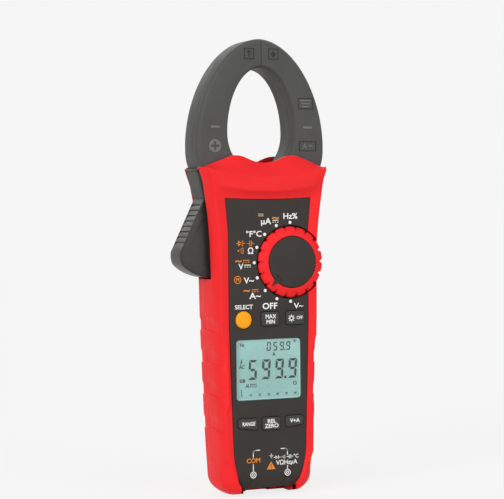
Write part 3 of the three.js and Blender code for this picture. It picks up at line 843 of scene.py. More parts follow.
LCD_FAINT = Ink("lcd_faint", srgb(136, 184, 178), roughness=0.35, wear=0.0)
LCD_BORDER = Moulded("lcd_border", srgb(170, 222, 214), roughness=0.35, grain=0.5, depth=0.004, mottle=0.02)
LCD_GLASS = Crystal("lcd_glass", srgb(142, 188, 182), middle=(0.0048, -0.0157, 0.0752), half=(0.0212, 0.018))


# ---------------------------------------------------------------- the case


@dataclass(frozen=True)
class CaseForm:
    """The widths, heights and depths that both shells of the case follow."""

    seam_y: float = 2.0
    gap: float = 0.3
    back_y: float = 20.0
    foot_height: float = 11.0
    foot_blend: float = 13.0
    brow: float = 189.8
    rear_brow: float = 186.0
    top: float = 198.0
    recess_top: float = 4.3
    recess_half: float = 16.8
    pivot: Point = (-27.0, 178.0)
    sweep: float = 49.3
    jaw_y: Point = (-10.4, 13.0)
    screws: tuple[Point, ...] = ((-21.7, 20), (21.7, 20), (-22.5, 118), (22.5, 118))
    seam_width: Law = ((15, 29.6), (46, 31), (72, 32), (101, 33), (125, 33.5), (150, 34.3), (168, 35.5),
                       (176, 37), (184, 38.6), (191.5, 41), (195, 42))
    shoulder_width: Law = ((15, 29.5), (45, 31), (75, 32.3), (105, 33.2), (150, 34.6), (168, 36), (176, 37.4),
                           (182.3, 38.8), (187.7, 40.9), (195, 42.2))
    frame_width: Law = ((15, 28.1), (45, 28.7), (75, 30.4), (105, 31.1), (150, 31.1), (162, 32.4), (176, 34.5),
                        (184, 36.2), (188.7, 38), (195, 38.5))
    panel_width: Law = ((4, 17), (8.6, 19.5), (14, 21), (20, 22.5), (26, 23.4), (40, 23.8), (72, 24.8),
                        (105, 25.8), (157, 25.8), (170, 27), (177.2, 27.7), (189, 29.5), (198, 31))
    # each side pad ends in a crisp step below a shallow hollow, given as (top, bottom) of the hollow
    hollows: tuple[Point, ...] = ((107.2, 99.2), (88.2, 79.6), (68.6, 60.4), (48.4, 40.2))
    hollow_depth: float = 1.0

    def foot_rows(self) -> list[float]:
        """Heights of rows round the foot, closer together towards the bottom."""
        return [self.foot_height * (1 - math.cos(math.pi / 2 * step / 12)) for step in range(13)]

    def lifted(self, height: float, inset: float) -> float:
        """The height of a row on a skin that lies inset inside the outer one, raised near the bottom."""
        return inset + height * (1 - inset / self.foot_blend) if height < self.foot_blend else height

    def foot_scale(self, z: float) -> float:
        """How far the widths shrink towards the bottom, along a quarter ellipse."""
        rise = max(0.0, 1 - z / self.foot_height)
        return 0.612 + 0.388 * math.sqrt(1 - rise * rise)

    def wing_height(self, x: float) -> float:
        """The height of the winged edge over the jaw at a distance from the middle."""
        reach = abs(x)
        if reach <= 17.5:
            return 198 + 4.3 * (0.5 - 0.5 * math.cos(math.pi * (reach / 17.5) ** 1.25))
        fall = ((17.5, 202.3), (19.5, 202.45), (21.5, 202.0), (31, 198.5), (38.5, 195.6), (42.3, 194.0))
        return along(fall, reach)

    def hollow(self, z: float) -> float:
        """How deep the side is hollowed at a height, 0 to 1."""
        depth = 0.0
        for top, bottom in self.hollows:
            depth = max(depth, ease(top, top - 2.2, z) * ease(bottom - 0.15, bottom + 0.25, z))
        return depth

    def arch(self, around: float, z: float) -> float:
        """How far the pads' edges drop on their way round to the front."""
        among_pads = ease(30, 38, z) * ease(116, 108, z)
        return among_pads * 1.7 * math.sin(0.6 * math.pi * around)

    def sweep_tool(self) -> BMesh:
        """The space that the moving jaw's arm and the trigger sweep, with a softened lower front corner."""
        px, pz = self.pivot
        arc = []
        for step in range(25):
            turn = math.radians(180 + (291.6 - 180) * step / 24)
            arc.append((px + self.sweep * math.cos(turn), pz + self.sweep * math.sin(turn)))
        outline = [(-90, 210), *arc, (-6.9, 150), (-20, 176), (-20, 210)]
        return plate(outline, self.jaw_y[0], self.jaw_y[1], edge=1.4)

    def jaw_room(self) -> BMesh:
        """The room that the two jaws' lower ends take between the shells."""
        return plate(OUTSIDE.outline(2.3), self.jaw_y[0], self.jaw_y[1])

    def rows_up(self, stops: Sequence[tuple[float, int]], start: float) -> list[float]:
        """Heights of rows, closer together where more are asked for.

        Args:
            stops: Pairs of the next height and the number of rows up to it.
            start: The first height.

        Returns:
            Every row's height.
        """
        heights = [start]
        for stop, count in stops:
            low = heights[-1]
            heights += [low + (stop - low) * step / count for step in range(1, count + 1)]
        return heights

    def pad_rows(self) -> list[tuple[float, int]]:
        """Stops for rows through the side pads, with a close pair at each crisp step."""
        stops = []
        for top, bottom in reversed(self.hollows):
            stops += [(bottom - 0.2, 4), (bottom + 0.3, 2), (top - 2.4, 3), (top + 0.1, 3)]
        return stops


@dataclass
class Knob:
    """The range switch's knob: a lobed red ring, a dark cap with its pointer, and the well it stands in."""

    x: float = 14.2
    z: float = 138.8
    well: float = 22.0
    well_floor: float = -14.7
    cap: float = 15.2
    lobes: int = 18
    face_y: float = -21.5
    pointer: float = 226.5
    sides_per_lobe: int = 14

    def ring(self) -> BMesh:
        """The ring, with a notch between each pair of lobes."""
        inner = self.cap + 0.25
        profile = ((inner, -15.1), (inner, -20.7), (inner + 0.25, -21.0), (inner + 1.0, -21.05), (17.2, -20.75),
                   (18.4, -20.35), (19.6, -19.75), (20.5, -19.1), (21.0, -18.3), (21.1, -17.4), (21.0, -16.2),
                   (20.4, -15.1), (inner, -15.1))
        blank = spun(profile, 0, 0, self.lobes * self.sides_per_lobe)
        for vert in blank.verts:
            reach = math.hypot(vert.co.x, vert.co.z)
            turn = math.atan2(vert.co.z, vert.co.x)
            phase = (turn / math.tau * self.lobes) % 1
            away_from_notch = min(phase, 1 - phase)
            notch = 1 - ease(0.05, 0.16, away_from_notch)
            crown = 0.35 * (away_from_notch * 2 - 1) ** 2
            share = ease(17.6, 20.6, reach)
            shrink = 1 - (notch * 1.0 + crown * 0.6) * share / max(reach, 1)
            vert.co.x *= shrink
            vert.co.z *= shrink
            vert.co.y += notch * share * 0.6
        bmesh.ops.translate(blank, verts=blank.verts[:], vec=(self.x, 0, self.z))
        return blank

    def at(self, reach: float, side: float) -> Point:
        """A place on the knob's face by its distance along and beside the pointer."""
        turn = math.radians(self.pointer)
        return (self.x + math.cos(turn) * reach - math.sin(turn) * side,
                self.z + math.sin(turn) * reach + math.cos(turn) * side)

    def cap_disc(self) -> BMesh:
        """The cap, its sunk triangle, and the tab that carries the pointer over the ring."""
        disc = spun(((0, self.face_y), (14.3, self.face_y), (14.9, self.face_y + 0.18),
                     (self.cap, self.face_y + 0.6), (self.cap, -15.9), (0, -15.9)), self.x, self.z, 128)
        tab = plate([self.at(13.6, -2.6), self.at(19.2, 0), self.at(13.6, 2.6)], -21.25, -19.4, edge=0.18)
        sunk = plate([self.at(12.1, -2.7), self.at(20.4, 0), self.at(12.1, 2.7)], -30, self.face_y + 0.7)
        slope = [v for v in sunk.verts if v.co.y > -25]
        for vert in slope:
            reach = math.hypot(vert.co.x - self.x, vert.co.z - self.z)
            vert.co.y -= 0.6 * ease(12.3, 20.4, reach)
        return carved(disc, (Cut.ONTO, tab), (Cut.AWAY, sunk), exact=True)

    def build(self) -> None:
        """Builds the ring and the cap."""
        Fitting("knob_lobed_ring", Body.KNOB, "red_shell", ("knob_ring",), 40).fit(self.ring(), RED)
        Fitting("knob_cap_disc", Body.KNOB, "panel_dark", ("knob_cap",), 25).fit(self.cap_disc(), PANEL_DARK)

    def well_tool(self) -> BMesh:
        """The round space that the knob stands in."""
        return plate(circle(self.x, self.z, self.well, 96), -40, self.well_floor)


@dataclass
class FrontCase:
    """The red front shell: padded sides, a bevelled frame round the panel and a browed, winged top."""

    form: CaseForm = field(default_factory=CaseForm)
    knob: Knob = field(default_factory=Knob)
    wall: float = 1.9
    ridge_y: Law = ((0, -16.2), (2.5, -17.6), (6, -18.6), (18, -19.3), (20.5, -19.3), (23.5, -18.5),
                    (52, -18.5), (55.6, -19.6), (92, -19.6), (95.5, -18.7), (120, -19.0), (176, -19.0),
                    (181, -19.4), (188.3, -19.7), (189.8, -19.3), (198, -12.0))
    # how far the ridge stands out from the panel's edge where the frame is raised
    raised: Law = ((0, 1.0), (8, 1.5), (20.5, 1.9), (28, 9.0), (50.2, 9.0), (55.6, 2.3), (92.4, 2.1),
                   (97.8, 9.0))
    edge_y: Law = ((4, -12.6), (8, -15.8), (12, -17.6), (16, -18.0), (176.4, -18.0), (177.4, -18.15),
                   (178.8, -18.8), (180.0, -19.7), (180.9, -20.45), (181.7, -20.75), (188.3, -20.4),
                   (189.8, -19.9), (198, -12.6))
    middle_y: Law = ((176.4, -18.0), (177.3, -18.2), (178.8, -19.1), (180.0, -20.2), (180.8, -21.0),
                     (181.7, -21.3), (188.3, -20.85), (189.8, -20.3), (198, -13.5))
    lift: Law = ((150, 0), (168, 0.3), (176.4, 1.5), (180.9, 4.0), (182, 4.2), (189.8, 4.4))
    side_steps: tuple[int, ...] = (6, 2, 6, 4)
    middle_steps: int = 26
    opening_row: int = 0
    # the rows that wrap under each foot and up its inner side, as (height, half-width)
    cheek: tuple[Point, ...] = ((5.2, 16.85), (0.7, 16.85), (0.18, 17.05), (0, 17.6))

    def heights(self) -> list[float]:
        """Every row's height, from the bottom up."""
        rounding = self.form.foot_rows()[1:]
        lower = self.form.rows_up([(20.4, 6), (28.2, 6), (36, 5), *self.form.pad_rows()], rounding[-1])
        upper = self.form.rows_up([(129, 10), (150, 8), (168, 8), (176.4, 5)], lower[-1])
        self.opening_row = len(rounding[:-1]) + len(lower[:-1]) + len(upper) - 1 + len(self.cheek)
        brow_stops = [(177.4, 2), (180.2, 5), (181.8, 6), (188.0, 6), (190.2, 6), (198, 9)]
        brow = self.form.rows_up(brow_stops, upper[-1])
        return [*rounding[:-1], *lower[:-1], *upper[:-1], *brow]

    def side_controls(self, w: float, inset: float) -> list[Vector]:
        """The right side's seam, shoulder, ridge and opening edge at a height, moved in by inset."""
        form = self.form
        scale = form.foot_scale(w)
        top = ease(190, 198, w)
        pad = form.hollow(w) * form.hollow_depth
        seam = along(form.seam_width, w) * scale - pad
        shoulder = along(form.shoulder_width, w) * scale - pad
        frame_edge = along(form.frame_width, w) * scale
        opening = along(form.panel_width, w) + form.gap
        ridge = min(frame_edge, opening + along(self.raised, w))
        shoulder_y = -12 + 0.4 * top
        ridge_y = along(self.ridge_y, w)
        seam_y = form.seam_y - form.gap / 2
        return [Vector((seam - inset, seam_y, 0)), Vector((shoulder - inset, shoulder_y + inset * 0.4, 0)),
                Vector((max(ridge - inset * 0.6, opening + 0.5), ridge_y + inset, 0)),
                Vector((opening, along(self.edge_y, w) + inset, 0))]

    def side_section(self, w: float, inset: float) -> list[Vector]:
        """The right side's section from the seam to the opening, bulging a little between its corners."""
        controls = self.side_controls(w, inset)
        mid_side = controls[0].lerp(controls[1], 0.5) + Vector((0.25, 0, 0)) * self.form.foot_scale(w)
        raised = 1 - ease(2.6, 5.0, controls[2].x - controls[3].x)
        mid_slope = controls[1].lerp(controls[2], 0.5) + Vector((0.5, -0.5, 0)) * (0.5 + raised)
        controls = [controls[0], mid_side, controls[1], mid_slope, *controls[2:]]
        return section(controls, (6, 2.2, 2.4, 0.7), (2, 3, 1, 1, 3))

    def place(self, heights: Sequence[float], inset: float) -> Callable[[int, int], Vector]:
        """Gives the law that puts the grid's corners on the shell.

        Args:
            heights: Every row's height above the cheek rows.
            inset: How far inside the outer surface the skin lies.

        Returns:
            The place of a corner from its column and row.
        """
        form, sections = self.form, {}
        first = len(self.cheek)

        def corner(column: int, row: int) -> Vector:
            mirrored = column > self.columns // 2
            if mirrored:
                column = self.columns - column
            w = form.lifted(0.0 if row < first else heights[row - first], inset)
            if w not in sections:
                sections[w] = self.side_section(w, inset)
            side = sections[w]
            if column < len(side):
                x, y = side[column].x, side[column].y
            else:
                share = (column - len(side) + 1) / self.middle_steps
                edge = side[-1]
                x = edge.x * (1 - share)
                rise = along(self.middle_y, w) + inset - edge.y
                y = edge.y + rise * math.sin(share * math.pi / 2) ** 0.8
            around = min(1.0, column / (len(side) - 4))
            z = w + along(self.lift, w) * (x / 36) ** 2 - form.arch(around, w)
            z += 2.1 * max(0.0, 1 - w / form.foot_blend) * ease(-4, -18, y)
            if w > form.brow:
                start = form.brow + along(self.lift, form.brow) * (x / 36) ** 2
                z = start + (form.wing_height(x) - start) * (w - form.brow) / (form.top - form.brow)
            if row < first:
                height, half = self.cheek[row]
                x, z = half + inset * 0.6, max(z, height + inset * 0.3)
            return Vector((x if mirrored else -x, y, z))

        return corner

    @property
    def columns(self) -> int:
        """Faces across the whole grid."""
        return 2 * (len(self.side_section(100.0, 0.0)) - 1 + self.middle_steps)

    def skin_at(self, inset: float) -> BMesh:
        """One skin of the shell, open where the panel lies.

        Args:
            inset: How far inside the outer surface it lies.

        Returns:
            The open skin.
        """
        heights = self.heights()
        across, side = self.columns, len(self.side_section(100.0, 0.0)) - 1
        corner = self.place(heights, inset)
        sheet = skin(across, len(self.cheek) + len(heights) - 1, lambda column, row: Vector((column, row, 0)))
        opening = [face for face in sheet.faces if side < face.calc_center_median().x < across - side
                   and face.calc_center_median().y < self.opening_row]
        bmesh.ops.delete(sheet, geom=opening, context="FACES")
        for vert in sheet.verts:
            vert.co = corner(round(vert.co.x), round(vert.co.y))
        return sheet

    def shell(self) -> BMesh:
        """The whole front shell with its openings."""
        form = self.form
        wall = wall_between(self.skin_at(0.0), self.skin_at(self.wall), 0.07)
        bosses = [(Cut.ONTO, rod(x, z, 4, -16.6, 1.8, 32)) for x, z in form.screws]
        holes = [(Cut.AWAY, rod(x, z, 1.8, -13, 9, 24)) for x, z in form.screws]
        return carved(wall, *bosses, (Cut.AWAY, self.knob.well_tool()), (Cut.AWAY, form.sweep_tool()),
                      (Cut.AWAY, form.jaw_room()), *holes)

    def build(self) -> None:
        """Builds the front shell."""
        Fitting("front_shell", Body.CASE, "red_shell", ("front_case",), 28).fit(self.shell(), RED)


@dataclass
class RearCase:
    """The red rear shell, its battery cover and the screws that show in its back."""

    form: CaseForm = field(default_factory=CaseForm)
    wall: float = 1.9
    depth: Law = ((0, 7.5), (0.7, 9.5), (2.6, 12), (5.4, 14.5), (9.2, 16.8), (15, 18.3), (28, 19.6), (45, 20),
                  (176, 20), (184, 19.7), (190, 18.8), (198, 15.4))
    cover_half: float = 19.6
    cover_z: Point = (30.5, 101.0)
    cover_screws: tuple[Point, ...] = ((-12, 96.2), (12, 96.2))
    side_steps: int = 7
    turn_steps: int = 12
    back_steps: int = 16

    def heights(self) -> list[float]:
        """Every row's height, from the bottom up."""
        rounding = self.form.foot_rows()
        lower = self.form.rows_up([(20, 5), (36, 6), *self.form.pad_rows()], rounding[-1])
        upper = self.form.rows_up([(129, 8), (168, 10), (184, 6), (190, 4), (198, 8)], lower[-1])
        return [*rounding[:-1], *lower[:-1], *upper]

    @property
    def columns(self) -> int:
        """Faces across the whole grid."""
        return 2 * (self.side_steps + self.turn_steps + self.back_steps)

    def half_section(self, w: float, inset: float) -> list[Vector]:
        """The right half's section at a height, from the seam to the middle of the back."""
        form = self.form
        scale = form.foot_scale(w)
        pad = form.hollow(w) * form.hollow_depth
        top = ease(190, 198, w)
        seam = along(form.seam_width, w) * scale - inset
        back = along(self.depth, w) - inset
        seam_y = form.seam_y + form.gap / 2
        turn_y = min(7.5, seam_y + (back - seam_y) * 0.45)
        points = []
        for step in range(self.side_steps + 1):
            share = step / self.side_steps
            points.append(Vector((seam - 0.7 * share - pad * (1 - share * 0.4),
                                  seam_y + (turn_y - seam_y) * share, 0)))
        reach = min(9.0, points[-1].x * 0.45) * (1 - 0.35 * top)
        start = points[-1].x
        for step in range(1, self.turn_steps + 1):
            turn = math.pi / 2 * step / self.turn_steps
            points.append(Vector((start - reach * (1 - math.cos(turn) ** 0.9),
                                  turn_y + (back - turn_y) * math.sin(turn) ** 0.9, 0)))
        edge = points[-1].x
        shares = [step / self.back_steps for step in range(1, self.back_steps + 1)]
        return points + [Vector((edge * (1 - share), back, 0)) for share in shares]

    def skin_at(self, inset: float) -> BMesh:
        """One skin of the shell.

        Args:
            inset: How far inside the outer surface it lies.

        Returns:
            The open skin.
        """
        heights = self.heights()
        sections = []
        for height in heights:
            w = self.form.lifted(height, inset)
            sections.append((w, self.half_section(w, inset)))
        low_w, low = sections[0]
        sections.insert(0, (low_w, [Vector((p.x * 0.4, p.y * 0.6 + 1.0, 0)) for p in low]))
        across = self.columns
        sheet = skin(across, len(sections) - 1, lambda column, row: Vector((column, row, 0)))
        for vert in sheet.verts:
            column, (w, points) = round(vert.co.x), sections[round(vert.co.y)]
            mirrored = column > across // 2
            point = points[across - column if mirrored else column]
            around = min(1.0, (across - column if mirrored else column) / 16)
            z = w - self.form.arch(around, w) * 0.7
            low, top = self.form.rear_brow, self.form.top
            if w > low:
                z = low + (self.form.wing_height(point.x) - low) * (w - low) / (top - low)
            vert.co = Vector((point.x if mirrored else -point.x, point.y, z))
        return sheet

    def shell(self) -> BMesh:
        """The whole rear shell with its battery opening, bosses and counterbores."""
        form = self.form
        wall = wall_between(self.skin_at(0.0), self.skin_at(self.wall), 0.07)
        half, (low, high) = self.cover_half, self.cover_z
        top = form.recess_top
        onto = [block((-22, 15.6, 28), (22, 18.5, 103)), block((-22.5, 7.7, top), (22.5, 12.6, top + 2.1))]
        onto += [block((side * 17.6 - 0.8, 2.2, 0.5), (side * 17.6 + 0.8, 8.4, 5.2)) for side in (-1, 1)]
        onto += [rod(x, z, 4, 2.2, 18.5, 32) for x, z in form.screws]
        onto += [rod(x, z, 3.2, 7, 16, 24) for x, z in self.cover_screws]
        cuts = [
            block((-form.recess_half, -30, -5), (form.recess_half, 40, top)),
            plate(rectangle(-half - 0.3, half + 0.3, low - 0.3, high + 0.3), 40, 17.4, corner=3),
            block((-17.2, 10, 36.2), (17.2, 40, 90)),
            form.sweep_tool(),
            form.jaw_room(),
        ]
        cuts += [spun(((0, 0), (1.8, 0), (1.8, 14.6), (3.3, 14.6), (3.3, 40), (0, 40)), x, z, 32)
                 for x, z in form.screws]
        cuts += [rod(x, z, 1.8, 9, 40, 24) for x, z in self.cover_screws]
        works = [(Cut.ONTO, tool) for tool in onto] + [(Cut.AWAY, tool) for tool in cuts]
        return carved(wall, *works)

    def cover(self) -> BMesh:
        """The battery cover, with a shallow label recess, screw seats and a row of grip ribs at its lower end."""
        half, (low, high) = self.cover_half, self.cover_z
        lid = plate(rectangle(-half, half, low, high), self.form.back_y, 17.7, corner=3, edge=0.35)
        seats = [spun(((0, 10), (1.8, 10), (1.8, 18.9), (3.1, 18.9), (3.1, 30), (0, 30)), x, z, 32)
                 for x, z in self.cover_screws]
        ribs = [block((-11, 19.45, 38 + step * 2.4), (11, 21, 39.1 + step * 2.4), edge=0.3)
                for step in range(7)]
        label = plate(rectangle(-15, 15, 60, 88), 22, 19.75, corner=2)
        return away(lid, *seats, *ribs, label)

    def screw(self, x: float, z: float, head: float, face: float, shank: float, tip: float) -> BMesh:
        """A pan screw with a cross recess, its head towards the back.

        Args:
            x: Where it stands.
            z: Where it stands.
            head: The head's radius.
            face: The y of the head's face.
            shank: The shank's radius.
            tip: The y of its tip.

        Returns:
            The screw.
        """
        profile = [(0, face), (head * 0.55, face), (head * 0.85, face - 0.2), (head, face - 0.7),
                   (head, face - 1.9), (shank, face - 1.9)]
        turns = 18
        for step in range(turns):
            depth = face - 2.4 - (face - 3.4 - tip) * step / turns
            profile += [(shank, depth), (shank - 0.28, depth - 0.3)]
        profile += [(shank * 0.5, tip + 0.2), (0, tip)]
        body = spun(profile, x, z, 28)
        cross = [block((x - head * 0.62, face - 1.0, z - 0.32), (x + head * 0.62, face + 1, z + 0.32)),
                 block((x - 0.32, face - 1.0, z - head * 0.62), (x + 0.32, face + 1, z + head * 0.62))]
        return away(body, *cross)

    def build(self) -> None:
        """Builds the rear shell, the cover and the screws."""
        Fitting("rear_shell", Body.CASE, "red_shell", ("rear_case",), 28).fit(self.shell(), RED)
        Fitting("battery_lid_cover", Body.LID, "red_shell", ("battery_cover",), 28).fit(self.cover(), RED)
        for number, (x, z) in enumerate(self.form.screws, 1):
            Fitting(f"case_screw_{number}_crossed", Body.CASE, "steel", (f"case_screw_{number}",)).fit(
                self.screw(x, z, 2.9, 17, 1.5, -11), STEEL)
        for number, (x, z) in enumerate(self.cover_screws, 1):
            Fitting(f"cover_screw_{number}_crossed", Body.LID, "steel", (f"cover_screw_{number}",)).fit(
                self.screw(x, z, 2.6, 19.9, 1.4, 10), STEEL)


# ---------------------------------------------------------------- the front panel


@dataclass
class Panel:
    """The dark front panel, bent back over the terminal end, with the floor of the knob's well."""

    form: CaseForm = field(default_factory=CaseForm)
    knob: Knob = field(default_factory=Knob)
    face_y: float = -17.95
    thick: float = 2.4
    through: Point = (-30.0, 0.0)
    display: tuple[float, float, float] = (21.15, 57.2, 93.2)
    select: tuple[float, float, float] = (-16.5, 105.15, 5.2)

    def bend(self, z: float) -> float:
        """How far the panel bends back at a height."""
        return 5 * ((15 - z) / 11) ** 2 if z < 15 else 0.0

    def skin_at(self, inset: float) -> BMesh:
        """One skin of the plate, as wide as the frame allows at each height."""
        stops = [(5.4, 2), (15, 12), (30, 6), (60, 6), (105, 6), (157, 8), (172, 4), (177.2, 3)]
        heights = self.form.rows_up(stops, 4.3)
        across = 16

        def corner(column: int, row: int) -> Vector:
            z = heights[row]
            share = column / across * 2 - 1
            bend = self.bend(z)
            dip = ease(170, 177.2, z) * (1 - share * share) * 1.1
            return Vector((along(self.form.panel_width, z) * share, self.face_y + bend + inset, z - dip))

        return skin(across, len(heights) - 1, corner)

    def plate(self) -> BMesh:
        """The plate with its openings, its two fine grooves and the well's floor."""
        wall = wall_between(self.skin_at(0.0), self.skin_at(self.thick), 0.25)
        half, low, high = self.display
        x, z, radius = self.select
        cuts = [plate(circle(self.knob.x, self.knob.z, self.knob.well, 96), -40, 0),
                plate(rectangle(-half - 0.25, half + 0.25, low - 0.25, high + 0.25), *self.through, corner=2.2),
                plate(circle(x, z, radius + 0.35), *self.through),
                plate(rectangle(-6.8, -2.7, 165.7, 168.3), *self.through, corner=0.4)]
        cuts += [plate(grown(key.outline, 0.35), *self.through, corner=1.5) for key in KEYS if key.outline]
        for (x0, z0), (x1, z1) in (((-11.5, 9.8), (-14.1, 4.0)), ((10.5, 10.2), (7.9, 4.0))):
            for step in range(8):
                (xa, za), (xb, zb) = [(x0 + (x1 - x0) * share / 8, z0 + (z1 - z0) * share / 8)
                                      for share in (step - 0.05, step + 1.05)]
                cuts.append(plate([(xa - 0.22, za), (xb - 0.22, zb), (xb + 0.22, zb), (xa + 0.22, za)], -30,
                                  self.face_y + self.bend((za + zb) / 2) + 0.8))
        floor = spun(((8, -14.7), (self.knob.well + 0.6, -14.7), (self.knob.well + 0.6, -13.9), (8, -13.9),
                      (8, -14.7)), self.knob.x, self.knob.z, 96)
        trimmed = carved(floor, (Cut.SHARED, block((-40, -20, 100), (33.2, 0, 170))))
        return joined(carved(wall, *[(Cut.AWAY, tool) for tool in cuts]), trimmed)

    def build(self) -> None:
        """Builds the panel."""
        Fitting("front_panel_plate", Body.CASE, "panel_dark", ("front_panel",), 30).fit(
            self.plate(), PANEL_DARK)


def grown(points: Sequence[Point], by: float) -> list[Point]:
    """Moves an outline's corners outwards from its middle along both axes."""
    cx = sum(x for x, _ in points) / len(points)
    cz = sum(z for _, z in points) / len(points)
    return [(x + math.copysign(by, x - cx), z + math.copysign(by, z - cz)) for x, z in points]


class Align(Enum):
    """How a line of lettering stands on its place."""

    LEFT = "LEFT"
    CENTRE = "CENTER"
    RIGHT = "RIGHT"


@dataclass(frozen=True)
class Legend:
    """A printed symbol or short generic word.

    Attributes:
        text: What is printed.
        x: Where it stands.
        z: The height of its baseline.
        size: The height of its capitals.
        align: How it stands on x.
        stretch: How wide it is set.
        bold: How much its strokes are thickened.
    """

    text: str
    x: float
    z: float
    size: float
    align: Align = Align.CENTRE
    stretch: float = 0.86
    bold: float = 0.018

    def marks(self, depth: float, proud: float = PRINT_THICK) -> BMesh:
        """The legend as thin raised print.

        Args:
            depth: The y of the surface that it is printed on.
            proud: How thick the print is.

        Returns:
            The print.
        """
        capital_share = 0.69
        line = bpy.data.curves.new("legend", "FONT")
        line.body = self.text
        line.size = self.size / capital_share
        line.align_x = self.align.value
        line.offset = self.bold * line.size
        line.extrude = proud / 2
        line.resolution_u = 3
        made = taken_off(placed("legend", line))
        bpy.data.curves.remove(line)
        welded(made)
        bmesh.ops.scale(made, verts=made.verts[:], vec=(self.stretch, 1, 1))
        bmesh.ops.rotate(made, verts=made.verts[:], cent=(0, 0, 0), matrix=Matrix.Rotation(math.pi / 2, 3, "X"))
        bmesh.ops.translate(made, verts=made.verts[:], vec=(self.x, depth - proud / 2, self.z))
        return made


def bar(x0: float, x1: float, z0: float, z1: float, depth: float, proud: float = PRINT_THICK) -> BMesh:
    """A printed bar between two heights and two places."""
    return plate(rectangle(x0, x1, z0, z1), depth - proud, depth)


def stroke(points: Sequence[Point], width: float, depth: float, proud: float = PRINT_THICK) -> BMesh:
    """A printed line through points.

    Args:
        points: The line's corners as (x, z).
        width: The line's width.
        depth: The y of the surface.
        proud: How thick the print is.

    Returns:
        The line's closed mesh.
    """
    runs = []
    for (x0, z0), (x1, z1) in zip(points, points[1:]):
        way = Vector((x1 - x0, z1 - z0)).normalized()
        side = Vector((-way.y, way.x)) * width / 2
        over = way * width * 0.3
        corners = [(x0 - over.x + side.x, z0 - over.y + side.y), (x0 - over.x - side.x, z0 - over.y - side.y),
                   (x1 + over.x - side.x, z1 + over.y - side.y), (x1 + over.x + side.x, z1 + over.y + side.y)]
        runs.append(plate(corners, depth - proud, depth))
    return joined(*runs)


def hoop(x: float, z: float, radius: float, width: float, depth: float, proud: float = PRINT_THICK) -> BMesh:
    """A printed circle."""
    inner, outer = radius - width / 2, radius + width / 2
    return spun(((inner, depth - proud), (outer, depth - proud), (outer, depth), (inner, depth),
                 (inner, depth - proud)), x, z, 40)


def dot(x: float, z: float, radius: float, depth: float, proud: float = 0.08) -> BMesh:
    """A printed round dot."""
    return plate(circle(x, z, radius, 24), depth - proud, depth)


@dataclass(frozen=True)
class Key:
    """One key of the keypad.

    Attributes:
        name: Its CAD node.
        body: The body it is.
        outline: Its outline as (x, z), or nothing for the round key.
        legends: What is printed on it.
    """

    name: str
    body: Body
    outline: tuple[Point, ...]
    legends: tuple[Legend, ...] = ()

    def build(self) -> None:
        """Builds the key and its print."""
        face, flange, back = -19.0, -15.2, -14.4
        if self.outline:
            cap = plate(self.outline, face, back, corner=1.3, edge=0.45)
            skirt = plate(grown(self.outline, 1.1), flange, back, corner=1.3)
            blank = joined(cap, skirt)
            finish = KEY_GREY
        else:
            profile = ((0, -19.1), (2.2, -19.08), (3.6, -18.98), (4.4, -18.75), (4.9, -18.4), (5.12, -17.9),
                       (5.2, -17.2), (5.2, -15.2), (6.3, -15.2), (6.3, -14.4), (0, -14.4))
            blank = spun(profile, -16.5, 105.15, 96)
            finish = KEY_YELLOW
        slot_name = "key_grey" if self.outline else "key_yellow"
        Fitting(f"{self.name}_cap", self.body, slot_name, (self.name,), 34).fit(blank, finish)
        if self.legends:
            marks = joined(*[legend.marks(face) for legend in self.legends])
            Fitting(f"{self.name}_print", self.body, "key_grey").fit(marks, WHITE_INK)


KEYS = (
    Key("select_button", Body.SELECT_KEY, ()),
    Key("max_min_button", Body.MAX_MIN_KEY, tuple(rectangle(-5.2, 6.2, 101.2, 109.4)),
        (Legend("MAX", 0.5, 105.6, 2.3, stretch=0.98, bold=0.022),
         Legend("MIN", 0.5, 102.5, 2.3, stretch=0.98, bold=0.022))),
    Key("light_button", Body.LIGHT_KEY, tuple(rectangle(10.9, 22.8, 101.4, 109.5)),
        (Legend("☼", 14.2, 103.4, 3.4, stretch=1, bold=0.012), Legend("OFF", 19.6, 104.5, 1.9, bold=0.014))),
    Key("range_button", Body.RANGE_KEY, ((-20.8, 41.3), (-8.6, 39.6), (-8.6, 46.7), (-20.8, 46.7)),
        (Legend("RANGE", -14.3, 42.5, 2.2, stretch=0.8, bold=0.02),)),
    Key("zero_button", Body.ZERO_KEY, tuple(rectangle(-5.2, 6.4, 39.3, 46.8)),
        (Legend("REL", 0.6, 43.5, 2.2, stretch=1.1, bold=0.022),
         Legend("ZERO", 0.6, 40.6, 2.3, stretch=1.05, bold=0.022))),
    Key("inrush_button", Body.INRUSH_KEY, ((10, 40.3), (21.5, 41.4), (21.5, 46.9), (10, 46.9)),
        (Legend("V+A", 15.8, 42.9, 2.3, stretch=1.02, bold=0.022),)),
)


